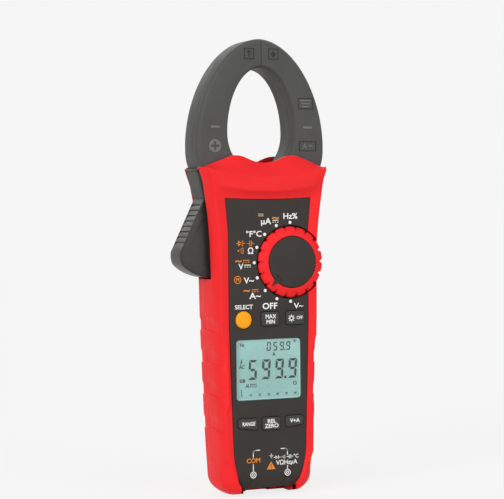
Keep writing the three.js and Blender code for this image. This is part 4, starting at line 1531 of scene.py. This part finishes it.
@dataclass
class PanelPrint:
    """The generic unit symbols, dial dots and lead lines printed on the panel."""

    knob: Knob = field(default_factory=Knob)
    surface: float = -17.95
    dial_radius: float = 23.55
    dial_step: float = 22.5

    def dial_dots(self) -> list[BMesh]:
        """One dot for each place of the switch, from the top anticlockwise to the bottom."""
        dots = []
        for place in range(9):
            turn = math.radians(90 + place * self.dial_step)
            dots.append(dot(self.knob.x + self.dial_radius * math.cos(turn),
                            self.knob.z + self.dial_radius * math.sin(turn), 0.95, self.surface))
        return dots

    def sockets(self) -> list[BMesh]:
        """The lines that lead from the symbols to the two sockets."""
        marks = []
        for x in (-11.2, 11.2):
            marks.append(hoop(x, 13.0, 1.75, 0.5, self.surface))
            marks.append(hoop(x, 13.0, 0.75, 0.45, self.surface))
            marks.append(stroke([(x, 14.8), (x, 19.3 if x < 0 else 17.2)], 0.5, self.surface))
        bend = [(math.cos(math.radians(a)), math.sin(math.radians(a))) for a in range(180, 89, -15)]
        left = [(-11.2, 23.7), *[(-9.4 + 1.8 * c, 25.7 + 1.8 * s) for c, s in bend], (-7.0, 27.5)]
        marks.append(stroke(left, 0.55, self.surface))
        marks.append(stroke([(-x, z) for x, z in left], 0.55, self.surface))
        return marks

    def earth(self, x: float, z: float) -> list[BMesh]:
        """The earth symbol."""
        bars = [bar(x - w, x + w, z + 1.0 - i * 0.62, z + 1.25 - i * 0.62, self.surface)
                for i, w in enumerate((1.3, 0.8, 0.35))]
        return [*bars, bar(x - 0.13, x + 0.13, z + 1.2, z + 2.5, self.surface)]

    def diode(self, x: float, z: float, size: float) -> list[BMesh]:
        """The diode symbol."""
        wide = size * 0.9
        arrow = [(x - wide, z - size), (x + wide * 0.7, z), (x - wide, z + size)]
        return [plate(arrow, self.surface - PRINT_THICK, self.surface),
                bar(x + wide * 0.7, x + wide * 0.7 + 0.4, z - size, z + size, self.surface),
                bar(x - wide - 1.1, x + wide + 1.3, z - 0.2, z + 0.2, self.surface)]

    def capacitor(self, x: float, z: float, size: float) -> list[BMesh]:
        """The capacitor symbol."""
        return [bar(x - 0.75, x - 0.3, z - size, z + size, self.surface),
                bar(x + 0.3, x + 0.75, z - size, z + size, self.surface),
                bar(x - 2.2, x - 0.5, z - 0.2, z + 0.2, self.surface),
                bar(x + 0.5, x + 2.2, z - 0.2, z + 0.2, self.surface)]

    def sound(self, x: float, z: float, scale: float = 1.0) -> list[BMesh]:
        """The continuity symbol's waves."""
        waves = [dot(x, z, 0.45 * scale, self.surface)]
        for radius in (1.3 * scale, 2.3 * scale, 3.3 * scale):
            bend = [(x + radius * math.cos(math.radians(a)), z + radius * math.sin(math.radians(a)))
                    for a in range(-32, 33, 16)]
            waves.append(stroke(bend, 0.48 * scale, self.surface))
        return waves

    def direct(self, x: float, z: float, width: float) -> list[BMesh]:
        """The direct current symbol: a bar over three dashes."""
        dash, left = width / 5, x - width / 2
        dashes = [bar(left + dash * 2 * place, left + dash * (2 * place + 1), z - 0.85, z - 0.4, self.surface)
                  for place in range(3)]
        return [*dashes, bar(left, x + width / 2, z + 0.3, z + 0.75, self.surface)]

    def white(self) -> BMesh:
        """Everything printed in white."""
        legends = (
            Legend("Hz%", 14.4, 164.5, 3.3, stretch=1.1), Legend("µA", -1.7, 161.5, 3.5, stretch=1.1),
            Legend("°F°C", -9.5, 154.2, 3.3, stretch=1.1), Legend("Ω", -11.7, 144.1, 3.5, stretch=1.0),
            Legend("V", -18.0, 135.1, 3.3, stretch=1.0), Legend("V~", -12.9, 126.8, 3.4, stretch=1.1),
            Legend("A~", -8.9, 117.5, 3.5, stretch=1.15),
            Legend("OFF", 0.6, 111.2, 3.5, stretch=1.1, bold=0.022),
            Legend("V~", 19.5, 111.0, 3.1, stretch=1.15), Legend("SELECT", -16.4, 111.6, 2.4, stretch=1.02),
            Legend("VΩHzµA", 10.7, 18.0, 2.6, stretch=0.98, bold=0.016),
            Legend("°C", 16.9, 21.5, 2.1, stretch=1.0, bold=0.016),
        )
        symbols = [*self.earth(0.6, 22.6), *self.diode(4.3, 22.5, 1.1), *self.capacitor(12.9, 22.5, 1.15),
                   *self.sound(7.6, 22.5, 0.62), *self.direct(4.7, 163.2, 3.9), *self.direct(-13.7, 137.0, 4.1)]
        printed = [legend.marks(self.surface) for legend in legends]
        return joined(*printed, *self.dial_dots(), *self.sockets(), *symbols)

    def orange(self) -> BMesh:
        """Everything printed in orange: the second function of each place."""
        legends = (
            Legend("~", 4.7, 163.7, 3.6, stretch=1.45, bold=0.03),
            Legend("~", -19.6, 138.5, 3.6, stretch=1.3, bold=0.03),
            Legend("M", -20.2, 127.9, 2.1, stretch=0.95, bold=0.03),
            Legend("~", -14.4, 120.9, 3.6, stretch=1.3, bold=0.03),
            Legend("COM", -11.0, 20.2, 2.7, stretch=1.0, bold=0.022),
        )
        symbols = [*self.diode(-18.2, 150.4, 1.7), *self.capacitor(-11.6, 150.2, 1.7),
                   *self.sound(-19.6, 146.0), *self.direct(-14.6, 139.9, 4.2),
                   hoop(-20.2, 128.9, 2.1, 0.45, self.surface), *self.direct(-9.0, 122.3, 4.2)]
        warning = [(0.4, 20.3), (-2.5, 15.6), (3.3, 15.6)]
        blank = plate(warning, self.surface - PRINT_THICK, self.surface, corner=0.3)
        mark = [plate([(0.1, 18.7), (0.7, 18.7), (0.55, 17.1), (0.25, 17.1)], -19, -17),
                plate(circle(0.4, 16.5, 0.3, 16), -19, -17)]
        return joined(*[legend.marks(self.surface) for legend in legends], *symbols, away(blank, *mark))

    def build(self) -> None:
        """Builds the print."""
        Fitting("panel_print_white", Body.CASE, "panel_dark").fit(self.white(), WHITE_INK)
        Fitting("panel_print_orange", Body.CASE, "panel_dark").fit(self.orange(), ORANGE_INK)


# ---------------------------------------------------------------- the display


SEGMENTS = {"0": "abcdef", "5": "acdfg", "9": "abcdfg"}


@dataclass
class Display:
    """The liquid crystal display: its glass, lighter border, lit and unlit segments and small signs."""

    face_y: float = -16.42
    half: float = 20.95
    low: float = 57.4
    high: float = 93.0
    lean: float = 0.075

    def segment(self, which: str, w: float, h: float, t: float) -> list[Point]:
        """One segment's outline in its digit's own box.

        Args:
            which: The segment's usual letter, a to g.
            w: The digit's width.
            h: The digit's height.
            t: The stroke's width.

        Returns:
            The outline.
        """
        g, mid = t * 0.14, h / 2
        top = [(g, h), (w - g, h), (w - t - g, h - t), (t + g, h - t)]
        upper = [(0, h - g * 2), (t, h - t - g * 2), (t, mid + t * 0.5 + g), (t * 0.5, mid + g),
                 (0, mid + t * 0.4 + g)]
        middle = [(t * 0.5 + g * 2, mid), (t + g, mid + t / 2), (w - t - g, mid + t / 2),
                  (w - t * 0.5 - g * 2, mid), (w - t - g, mid - t / 2), (t + g, mid - t / 2)]
        shapes = {"a": top, "f": upper, "g": middle}
        shapes["d"] = [(x, h - z) for x, z in top]
        shapes["e"] = [(x, h - z) for x, z in upper]
        shapes["b"] = [(w - x, z) for x, z in upper]
        shapes["c"] = [(w - x, h - z) for x, z in upper]
        return shapes[which]

    def digit(self, lit: str, x: float, z: float, w: float, h: float, t: float) -> BMesh:
        """Some segments of one leaning digit.

        Args:
            lit: The letters of the segments.
            x: The digit's lower left corner.
            z: The digit's lower left corner.
            w: Its width.
            h: Its height.
            t: Its strokes' width.

        Returns:
            The segments.
        """
        made = []
        for which in lit:
            points = [(x + px + self.lean * pz, z + pz) for px, pz in self.segment(which, w, h, t)]
            made.append(plate(points, self.face_y - 0.04, self.face_y))
        return joined(*made)

    def reading(self) -> tuple[BMesh, BMesh]:
        """The lit and the unlit segments of both rows of digits."""
        rows = (("5999", -13.5, 8.7, 69.3, 5.5, 11.8, 1.5), ("0599", -1.3, 4.25, 86.1, 2.8, 5.2, 0.78))
        lit, unlit = [], []
        for figures, x, pitch, z, w, h, t in rows:
            for place, figure in enumerate(figures):
                shown = SEGMENTS[figure]
                hidden = "".join(letter for letter in "abcdefg" if letter not in shown)
                lit.append(self.digit(shown, x + pitch * place, z, w, h, t))
                unlit.append(self.digit(hidden, x + pitch * place, z, w, h, t))
            spot = x + pitch * 3 - (pitch - w) * 0.5
            point = rectangle(spot - t * 0.5, spot + t * 0.5, z, z + t)
            lit.append(plate(point, self.face_y - 0.04, self.face_y, corner=t * 0.2))
        return joined(*lit), joined(*unlit)

    def signs(self) -> BMesh:
        """The small signs round the digits and the scale below them."""
        y = self.face_y
        words = [Legend("A", 3.6, 83.0, 2.2, bold=0.03), Legend("AC", -17.3, 76.2, 2.1, bold=0.03),
                 Legend("AUTO", -11.5, 64.8, 2.1, bold=0.025), Legend("Hz", -17.0, 89.2, 2.0, bold=0.03)]
        words += [Legend(str(step * 10), -17.7 + 5.87 * step, 59.6, 1.35, bold=0.03) for step in range(7)]
        drawn = [
            stroke([(-17.1, 81.6), (-18.1, 80.1), (-17.2, 80.3), (-18.2, 78.6)], 0.42, y),
            away(bar(-18.7, -15.5, 67.9, 69.9, y), plate(rectangle(-18.2, -17.5, 68.4, 69.4), -20, -10),
                 plate(rectangle(-17.2, -16.7, 68.4, 69.4), -20, -10)),
            hoop(17.3, 66.2, 1.05, 0.4, y), stroke([(17.3, 67.0), (17.3, 66.2), (17.9, 65.9)], 0.25, y),
            stroke([(16.6, 91.4), (17.2, 92.1), (17.2, 90.7), (16.6, 91.4)], 0.35, y),
            stroke([(17.8, 92.0), (18.1, 91.4), (17.8, 90.8)], 0.25, y),
            bar(-17.95, -17.5, 61.4, 63.8, y),
        ]
        return joined(*[word.marks(y, 0.04) for word in words], *drawn)

    def opening(self, inside: float = 0.0) -> list[Point]:
        """The corners of the display's opening, or of one that lies inside it."""
        return rectangle(-self.half + inside, self.half - inside, self.low + inside, self.high - inside)

    def glass(self) -> BMesh:
        """The display's glass sandwich with a raised front pane and its moulded holder."""
        pane = plate(self.opening(), self.face_y, -14.4, corner=1.9, edge=0.1)
        slab = plate(rectangle(-23.6, 23.6, 54.4, 96), -15.1, -13.2, corner=0.6, edge=0.2)
        return joined(pane, slab)

    def border(self) -> BMesh:
        """The lighter border that runs round inside the opening."""
        ring = plate(self.opening(), self.face_y - 0.06, self.face_y - 0.01, corner=1.9)
        return away(ring, plate(self.opening(0.75), -20, -10, corner=1.5))

    def build(self) -> None:
        """Builds the display."""
        lit, unlit = self.reading()
        Fitting("display_glass", Body.CASE, "lcd", ("display_module",)).fit(self.glass(), LCD_GLASS)
        Fitting("display_border", Body.CASE, "lcd").fit(self.border(), LCD_BORDER)
        Fitting("display_segments", Body.CASE, "lcd").fit(joined(lit, self.signs()), LCD_INK)
        Fitting("display_unlit_segments", Body.CASE, "lcd").fit(unlit, LCD_FAINT)


# ---------------------------------------------------------------- the jaws and the trigger


@dataclass(frozen=True)
class Oval:
    """An oval in the front view whose upper and lower halves differ.

    Attributes:
        half: Half its width.
        centre: The height of its widest place.
        up: How far it reaches above that.
        down: How far it reaches below that.
        power: How full its upper half is; 2 is an ellipse.
        low_power: How full its lower half is.
    """

    half: float
    centre: float
    up: float
    down: float
    power: float
    low_power: float

    def at(self, turn: float, grow: float) -> Point:
        """A place on the oval grown outwards, at a turn in degrees from the right."""
        c, s = math.cos(math.radians(turn)), math.sin(math.radians(turn))
        power, tall = (self.power, self.up) if s >= 0 else (self.low_power, self.down)
        return (math.copysign((self.half + grow) * abs(c) ** (2 / power), c),
                self.centre + math.copysign((tall + grow) * abs(s) ** (2 / power), s))

    def outline(self, grow: float, count: int = 96) -> list[Point]:
        """The whole oval as points."""
        return [self.at((step + 0.5) * 360 / count, grow) for step in range(count)]


OUTSIDE = Oval(39.8, 208, 61.8, 27, 1.87, 2.6)
WINDOW = Oval(22.8, 216, 40, 24.5, 1.95, 2.1)


def ring_of(profile: Sequence[tuple[Oval, float, float]], start: float, sweep: float,
            split: float = 0.0) -> BMesh:
    """Sweeps a closed section round the jaw's ovals.

    Args:
        profile: The section's corners: which oval, how far outside it, and the y.
        start: Where the sweep starts, in degrees.
        sweep: How far it goes, in degrees.
        split: How far from the middle the two ends of a half ring stop.

    Returns:
        The closed ring or half ring.
    """
    steps = 88
    whole = abs(sweep) >= 360
    side = 1 if sweep < 0 else -1

    def corner(column: int, row: int) -> Vector:
        oval, grow, depth = profile[row % len(profile)]
        x, z = oval.at(start + sweep * (column % steps if whole else column) / steps, grow)
        if not whole:
            x = side * max(split, side * x)
        return Vector((x, depth, z))

    blank = skin(steps, len(profile), corner)
    welded(blank)
    if not whole:
        bmesh.ops.holes_fill(blank, edges=[edge for edge in blank.edges if edge.is_boundary], sides=0)
    faced_outwards(blank)
    return blank


@dataclass
class Jaws:
    """The fixed and the moving jaw, each in a front and a rear half, with their raised marks."""

    form: CaseForm = field(default_factory=CaseForm)
    parting: float = -3.0
    split: float = 0.15
    marks_y: float = -10.0
    screws: tuple[Point, ...] = ((25, 173.5), (29.5, 181.5))
    arm: tuple[Point, ...] = ((-40.4, 194.2), (-36.2, 177.3), (-34.5, 172.6), (-22, 172.4), (-20, 180),
                              (-24, 190))
    foot: tuple[Point, ...] = ((14, 188), (33.6, 190), (30.6, 170), (21, 170), (14, 182))

    def half_ring(self, sweep: float) -> BMesh:
        """One side of the ring, solid, with its edges chamfered and eased."""
        profile = ((OUTSIDE, 2, 0), (OUTSIDE, 2, -7.0), (OUTSIDE, 1.85, -7.6), (OUTSIDE, 0.25, -9.7),
                   (OUTSIDE, -0.15, -9.93), (OUTSIDE, -0.6, -10), (WINDOW, 0.5, -10), (WINDOW, 0.15, -9.93),
                   (WINDOW, -0.1, -9.7), (WINDOW, -1.1, -8.3), (WINDOW, -1.3, -7.8), (WINDOW, -1.3, 9.8),
                   (WINDOW, -1.1, 10.3), (WINDOW, 0, 12.2), (WINDOW, 0.5, 12.5), (OUTSIDE, -0.7, 12.5),
                   (OUTSIDE, -0.1, 12.2), (OUTSIDE, 1.7, 9.7), (OUTSIDE, 2, 9.0))
        return ring_of(profile, 90, sweep, self.split)

    def channel(self) -> BMesh:
        """The channel that holds the core."""
        profile = ((WINDOW, 2.2, -7.3), (OUTSIDE, -1.4, -7.3), (OUTSIDE, -1.4, 9.8), (WINDOW, 2.2, 9.8))
        return ring_of(profile, 1, 360)

    def halves(self, whole: BMesh) -> tuple[BMesh, BMesh]:
        """Parts a jaw into its front and its rear half."""
        front = away(whole.copy(), block((-90, self.parting - 0.15, 100), (90, 60, 300)))
        return front, away(whole, block((-90, -60, 100), (90, self.parting + 0.15, 300)))

    def moving(self) -> BMesh:
        """The moving jaw: half ring, arm with its collar, boss and bore."""
        px, pz = self.form.pivot
        arm = plate(self.arm, -5, 11, edge=0.4)
        collar = block((-41.3, -6.2, 193.3), (-36.5, 11.6, 194.6), edge=0.35)
        boss = spun(((0, -9.7), (5.6, -9.7), (6, -9.3), (6, 11.8), (5.6, 12.2), (0, 12.2)), px, pz, 40)
        bore = rod(px, pz, 2.8, -20, 20, 40)
        return carved(self.half_ring(180), (Cut.ONTO, arm), (Cut.ONTO, collar), (Cut.AWAY, self.channel()),
                      (Cut.ONTO, boss), (Cut.AWAY, bore), exact=True)

    def fixed(self) -> BMesh:
        """The fixed jaw: half ring, foot and screw pillars."""
        pillars = [rod(x, z, 4, 0, 11.05, 32) for x, z in self.screws]
        ways = [spun(((0, -20), (2.8, -20), (2.8, 2.5), (1.6, 2.5), (1.6, 20), (0, 20)), x, z, 32)
                for x, z in self.screws]
        works = [(Cut.ONTO, plate(self.foot, 3, 11.1)), (Cut.AWAY, self.channel())]
        works += [(Cut.ONTO, pillar) for pillar in pillars] + [(Cut.AWAY, way) for way in ways]
        return carved(self.half_ring(-180), *works, exact=True)

    def raised(self, points: Sequence[Point], proud: float = 0.28, corner: float = 0.2) -> BMesh:
        """A raised mark on the jaw's face."""
        return plate(points, self.marks_y - proud, self.marks_y + 0.1, corner=corner, edge=proud * 0.3)

    def frame(self, x0: float, x1: float, z0: float, z1: float) -> BMesh:
        """A raised rectangular frame."""
        t = 0.42
        bars = ((x0, x1, z1 - t, z1), (x0, x1, z0, z0 + t), (x0, x0 + t, z0 + t, z1 - t),
                (x1 - t, x1, z0 + t, z1 - t))
        return joined(*[self.raised(rectangle(*sides), 0.2, 0.1) for sides in bars])

    def moving_marks(self) -> tuple[BMesh, BMesh]:
        """The moving jaw's minus bar and circled plus, painted lighter as highlight, and its square with an arrow,
        painted darker as shade.
        """
        disc = self.raised(circle(-30.4, 208, 3.9, 56), 0.3, 0)
        plus = [plate(rectangle(*sides), -20, -9.95)
                for sides in ((-33.1, -27.7, 207.3, 208.7), (-31.1, -29.7, 205.3, 210.7))]
        arrow = [self.raised([(-8.2, 260.9), (-7.7, 260.9), (-7.7, 263.4), (-8.2, 263.4)], 0.2, 0),
                 self.raised([(-9.3, 263.3), (-6.6, 263.3), (-7.95, 265.1)], 0.2, 0)]
        return (joined(self.raised(rectangle(-33.2, -27.2, 218.5, 219.9), 0.28, 0.6), away(disc, *plus)),
                joined(self.frame(-11.2, -4.7, 259.5, 266.1), *arrow))

    def fixed_marks(self) -> tuple[BMesh, BMesh]:
        """The fixed jaw's minus bar and signs, painted lighter as highlight, and the frames round its signs and its
        diamond, painted darker as shade.
        """
        rows = [self.raised(rectangle(25.6 + shift, 32.6 - shift, z, z + 0.7), 0.2, 0.2)
                for z, shift in ((235.0, 0.0), (233.2, 0.5), (231.4, 1.2))]
        unit = Legend("A", 28.2, 206.3, 3.4, bold=0.01).marks(self.marks_y, 0.2)
        wave = Legend("≂", 32.2, 206.3, 3.4, bold=0.01, stretch=1).marks(self.marks_y, 0.2)
        gem = self.raised([(7.95, 260.9), (9.6, 262.8), (7.95, 264.7), (6.3, 262.8)], 0.2, 0.15)
        return (joined(self.raised(rectangle(27.2, 33.2, 218.5, 219.9), 0.28, 0.6), *rows, unit, wave),
                joined(self.frame(24.5, 35.9, 205, 211), self.frame(24, 34, 230.2, 237),
                       self.frame(4.7, 11.2, 259.5, 266.1), gem))

    def build(self) -> None:
        """Builds both jaws."""
        for side, body, whole, marks in (("moving", Body.MOVING_JAW, self.moving(), self.moving_marks()),
                                         ("fixed", Body.CASE, self.fixed(), self.fixed_marks())):
            front, rear = self.halves(whole)
            Fitting(f"{side}_jaw_front_half", body, "jaw_grey", (f"{side}_jaw_front",), 26).fit(front, JAW_GREY)
            Fitting(f"{side}_jaw_rear_half", body, "jaw_grey", (f"{side}_jaw_rear",), 26).fit(rear, JAW_GREY)
            # the raised minus bars, plus disc and signs are painted lighter as a highlight
            Fitting(f"{side}_jaw_marks", body, "jaw_grey").fit(marks[0], MARK_PAINTED_HIGHLIGHT)
            # the raised frames, arrow and diamond are painted darker as shade
            Fitting(f"{side}_jaw_frames", body, "jaw_grey").fit(marks[1], MARK_PAINTED_SHADE)


@dataclass
class Trigger:
    """The black trigger with its ribbed outer face and the shallow dish in its front."""

    y: Point = (-6.8, 10.0)
    ribs: int = 8
    rib_pitch: float = 3.5
    head: Point = (-36.4, 176.6)
    nose: Point = (-51.5, 145.5)

    def outline(self) -> list[Point]:
        """The trigger's outline in the front view."""
        arcs = ((self.nose, (-52.26, 141.5), (-50.5, 138)), ((-50.5, 138), (-46, 133), (-37.5, 130.6)),
                ((-37.5, 130.6), (-34, 129.9), (-31, 129.6)))
        points = [self.head]
        for start, pull, end in arcs:
            a, b, c = Vector(start), Vector(pull), Vector(end)
            for step in range(8):
                t = step / 8
                points.append(tuple(a * (1 - t) ** 2 + b * 2 * t * (1 - t) + c * t * t))
        return [*points, (-31, 129.6), (-26, 150), (-25.5, 171.4), (-34.8, 171.8)]

    def shape(self) -> BMesh:
        """The trigger's whole shape."""
        front, back = self.y
        blank = plate(self.outline(), front, back)
        rims = [edge for edge in blank.edges if abs(edge.verts[0].co.y - edge.verts[1].co.y) < 1e-5]
        eased(blank, rims, 1.1, 4, profile=0.6)
        head, nose = Vector(self.head), Vector(self.nose)
        way = (nose - head).normalized()
        outwards = Vector((way.y, -way.x))
        notches = []
        for rib in range(self.ribs):
            start = head + way * (3.4 + rib * self.rib_pitch)
            end = start + way * (self.rib_pitch - 0.6)
            corners = (start + outwards, end + outwards, end + outwards * 0.02, start - outwards * 0.55)
            notches.append(plate([tuple(corner) for corner in corners], front + 1.5, back - 1.3))
        rim = [(-37.3, 166.5), (-47.6, 145.6), (-36.3, 136.6), (-33.6, 139.5), (-34.6, 160)]
        dish = plate(rim, -20, front + 0.6, corner=2)
        return carved(blank, *[(Cut.AWAY, tool) for tool in (*notches, dish)])

    def build(self) -> None:
        """Builds the trigger."""
        Fitting("trigger_lever", Body.MOVING_JAW, "trigger_black", ("trigger",), 30).fit(
            self.shape(), TRIGGER_BLACK)


# ---------------------------------------------------------------- the parts kept from the solid model


@dataclass
class Innards:
    """The parts inside the meter, whose solid shapes stay and are given their finishes here."""

    finishes: tuple[tuple[str, Finish], ...] = (
        ("display_window", LENS), ("display_backlight", DIFFUSER), ("indicator_window", INDICATOR),
        ("keypad_mat", SILICONE), ("main_board", BOARD), ("buzzer", MOULDING_BLACK),
        ("terminal_block", MOULDING_BLACK), ("common_contact", BRASS), ("input_contact", BRASS),
        ("battery_tray", MOULDING_BLACK), ("battery_contact", STEEL), ("battery_", CELL), ("jaw_screw", STEEL),
        ("jaw_pivot_pin", STEEL), ("case_seal", SEAL), ("fixed_core", CORE), ("moving_core", CORE),
        ("field_sensor", MOULDING_BLACK), ("trigger_spring", STEEL), ("switch_rotor", NYLON),
        ("switch_wiper", BRASS),
    )

    def finish_of(self, node: str) -> Finish | None:
        """The finish of a node that keeps its solid shape."""
        return next((finish for start, finish in self.finishes if node.startswith(start)), None)

    def build(self) -> None:
        """Gives every kept part its finish, on its own material slot."""
        for node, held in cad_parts.items():
            finish = self.finish_of(node)
            if finish is None or node == "battery_cover":
                continue
            for slot in held.material_slots:
                slot.link = "OBJECT"
                slot.material = finish.material()


# ---------------------------------------------------------------- the studio


@dataclass
class Studio:
    """A pale floor, a white surround, soft lamps and the camera."""

    azimuth: float = -24.2
    elevation: float = 1.6
    roll: float = -0.54
    distance: float = 1.037
    aim: tuple[float, float, float] = (0.0021, 0.0007, 0.1461)
    lens: float = 123.1
    white: float = 0.92
    soft_light: float = 0.25
    # the floor's own white, and how much of it stands in for the lit card
    glow: float = 0.95
    glow_share: float = 0.85
    # each lamp's name, azimuth, height, softness and strength
    lamps: tuple[tuple[str, float, float, float, float], ...] = (
        ("key", -60, 26, 32, 1.7), ("fill", 22, 15, 40, 0.95), ("top", -10, 75, 60, 0.4), ("rim", 160, 30, 60, 0.8))

    def camera(self) -> None:
        """Places the camera."""
        turn, rise, roll = (math.radians(a) for a in (self.azimuth, self.elevation, self.roll))
        back = Vector((math.sin(turn) * math.cos(rise), -math.cos(turn) * math.cos(rise), math.sin(rise)))
        level = Vector((0, 0, 1)).cross(back).normalized()
        upright = back.cross(level)
        right = level * math.cos(roll) + upright * math.sin(roll)
        up = upright * math.cos(roll) - level * math.sin(roll)
        data = bpy.data.cameras.new("camera")
        data.lens = self.lens
        data.clip_start, data.clip_end = 0.05, 60
        seat = Matrix((right, up, back)).transposed().to_4x4()
        seat.translation = Vector(self.aim) + back * self.distance
        camera = placed("camera", data)
        camera.matrix_world = seat
        bpy.context.scene.camera = camera

    def seen_directly(self, tree: bpy.types.NodeTree) -> bpy.types.NodeSocket:
        """Adds nodes that say whether a ray comes from the eye, from gloss or through glass."""
        rays = wired(tree, "LightPath", {}).outputs
        total = rays["Is Camera Ray"]
        for kind in ("Is Glossy Ray", "Is Transmission Ray"):
            total = wired(tree, "Math", {0: total, 1: rays[kind]}, operation="ADD", use_clamp=True).outputs[0]
        return total

    def surround(self) -> None:
        """Makes the world: white to the eye and plain soft light to the meter."""
        world = bpy.data.worlds.new("surround")
        bpy.context.scene.world = world
        world.use_nodes = True
        tree = world.node_tree
        lit = tree.nodes["Background"]
        lit.inputs["Color"].default_value = (1, 1, 1, 1)
        lit.inputs["Strength"].default_value = self.soft_light
        seen = wired(tree, "Background", {"Color": (self.white, self.white, self.white, 1), "Strength": 1.0})
        chosen = wired(tree, "MixShader", {0: self.seen_directly(tree), 1: lit.outputs[0], 2: seen.outputs[0]})
        tree.links.new(chosen.outputs[0], tree.nodes["World Output"].inputs["Surface"])

    def floor(self) -> None:
        """Lays the floor, which keeps the meter's shadow and is otherwise as white as the surround."""
        sheet = bmesh.new()
        bmesh.ops.create_circle(sheet, cap_ends=True, segments=96, radius=14)
        floor = placed("floor", settled("floor", sheet))
        floor.location.z = -0.0004
        made = bpy.data.materials.new("floor_card")
        made.use_nodes = True
        tree = made.node_tree
        card = tree.nodes["Principled BSDF"]
        card.inputs["Base Color"].default_value = (self.white, self.white, self.white, 1)
        card.inputs["Roughness"].default_value = 0.9
        card.inputs["Specular IOR Level"].default_value = 0.0
        glow = wired(tree, "Emission", {"Color": (self.glow, self.glow, self.glow, 1)})
        share = wired(tree, "Math", {0: self.seen_directly(tree), 1: self.glow_share}, operation="MULTIPLY")
        chosen = wired(tree, "MixShader", {0: share.outputs[0], 1: card.outputs[0], 2: glow.outputs[0]})
        tree.links.new(chosen.outputs[0], tree.nodes["Material Output"].inputs["Surface"])
        floor.data.materials.append(made)

    def lamp(self, name: str, azimuth: float, rise: float, softness: float, strength: float) -> None:
        """Hangs a distant soft lamp, which lights the floor evenly.

        Args:
            name: The lamp's name.
            azimuth: Where it hangs, in degrees to the right of the front.
            rise: How high, in degrees.
            softness: How wide it looks, in degrees.
            strength: Its strength.
        """
        data = bpy.data.lights.new(name, "SUN")
        data.angle = math.radians(softness)
        data.energy = strength
        turn, height = math.radians(azimuth), math.radians(rise)
        way = Vector((math.sin(turn) * math.cos(height), -math.cos(turn) * math.cos(height), math.sin(height)))
        placed(name, data).rotation_euler = way.to_track_quat("Z", "Y").to_euler()

    def build(self) -> None:
        """Sets up the whole studio."""
        for spare in [o for o in bpy.context.scene.objects if o.type in {"LIGHT", "CAMERA"}]:
            bpy.data.objects.remove(spare)
        bpy.context.scene.view_settings.view_transform = "Standard"
        self.camera()
        self.surround()
        self.floor()
        for lamp in self.lamps:
            self.lamp(*lamp)


def main() -> None:
    """Builds the meter and its studio."""
    for part in (Studio(), FrontCase(), RearCase(), Panel(), PanelPrint(), Knob(), *KEYS, Display(), Jaws(),
                 Trigger(), Innards()):
        part.build()
        LOG.info("%s done", type(part).__name__)


if __name__ == "__main__":
    logging.basicConfig(level=logging.INFO, format="%(message)s")
    main()
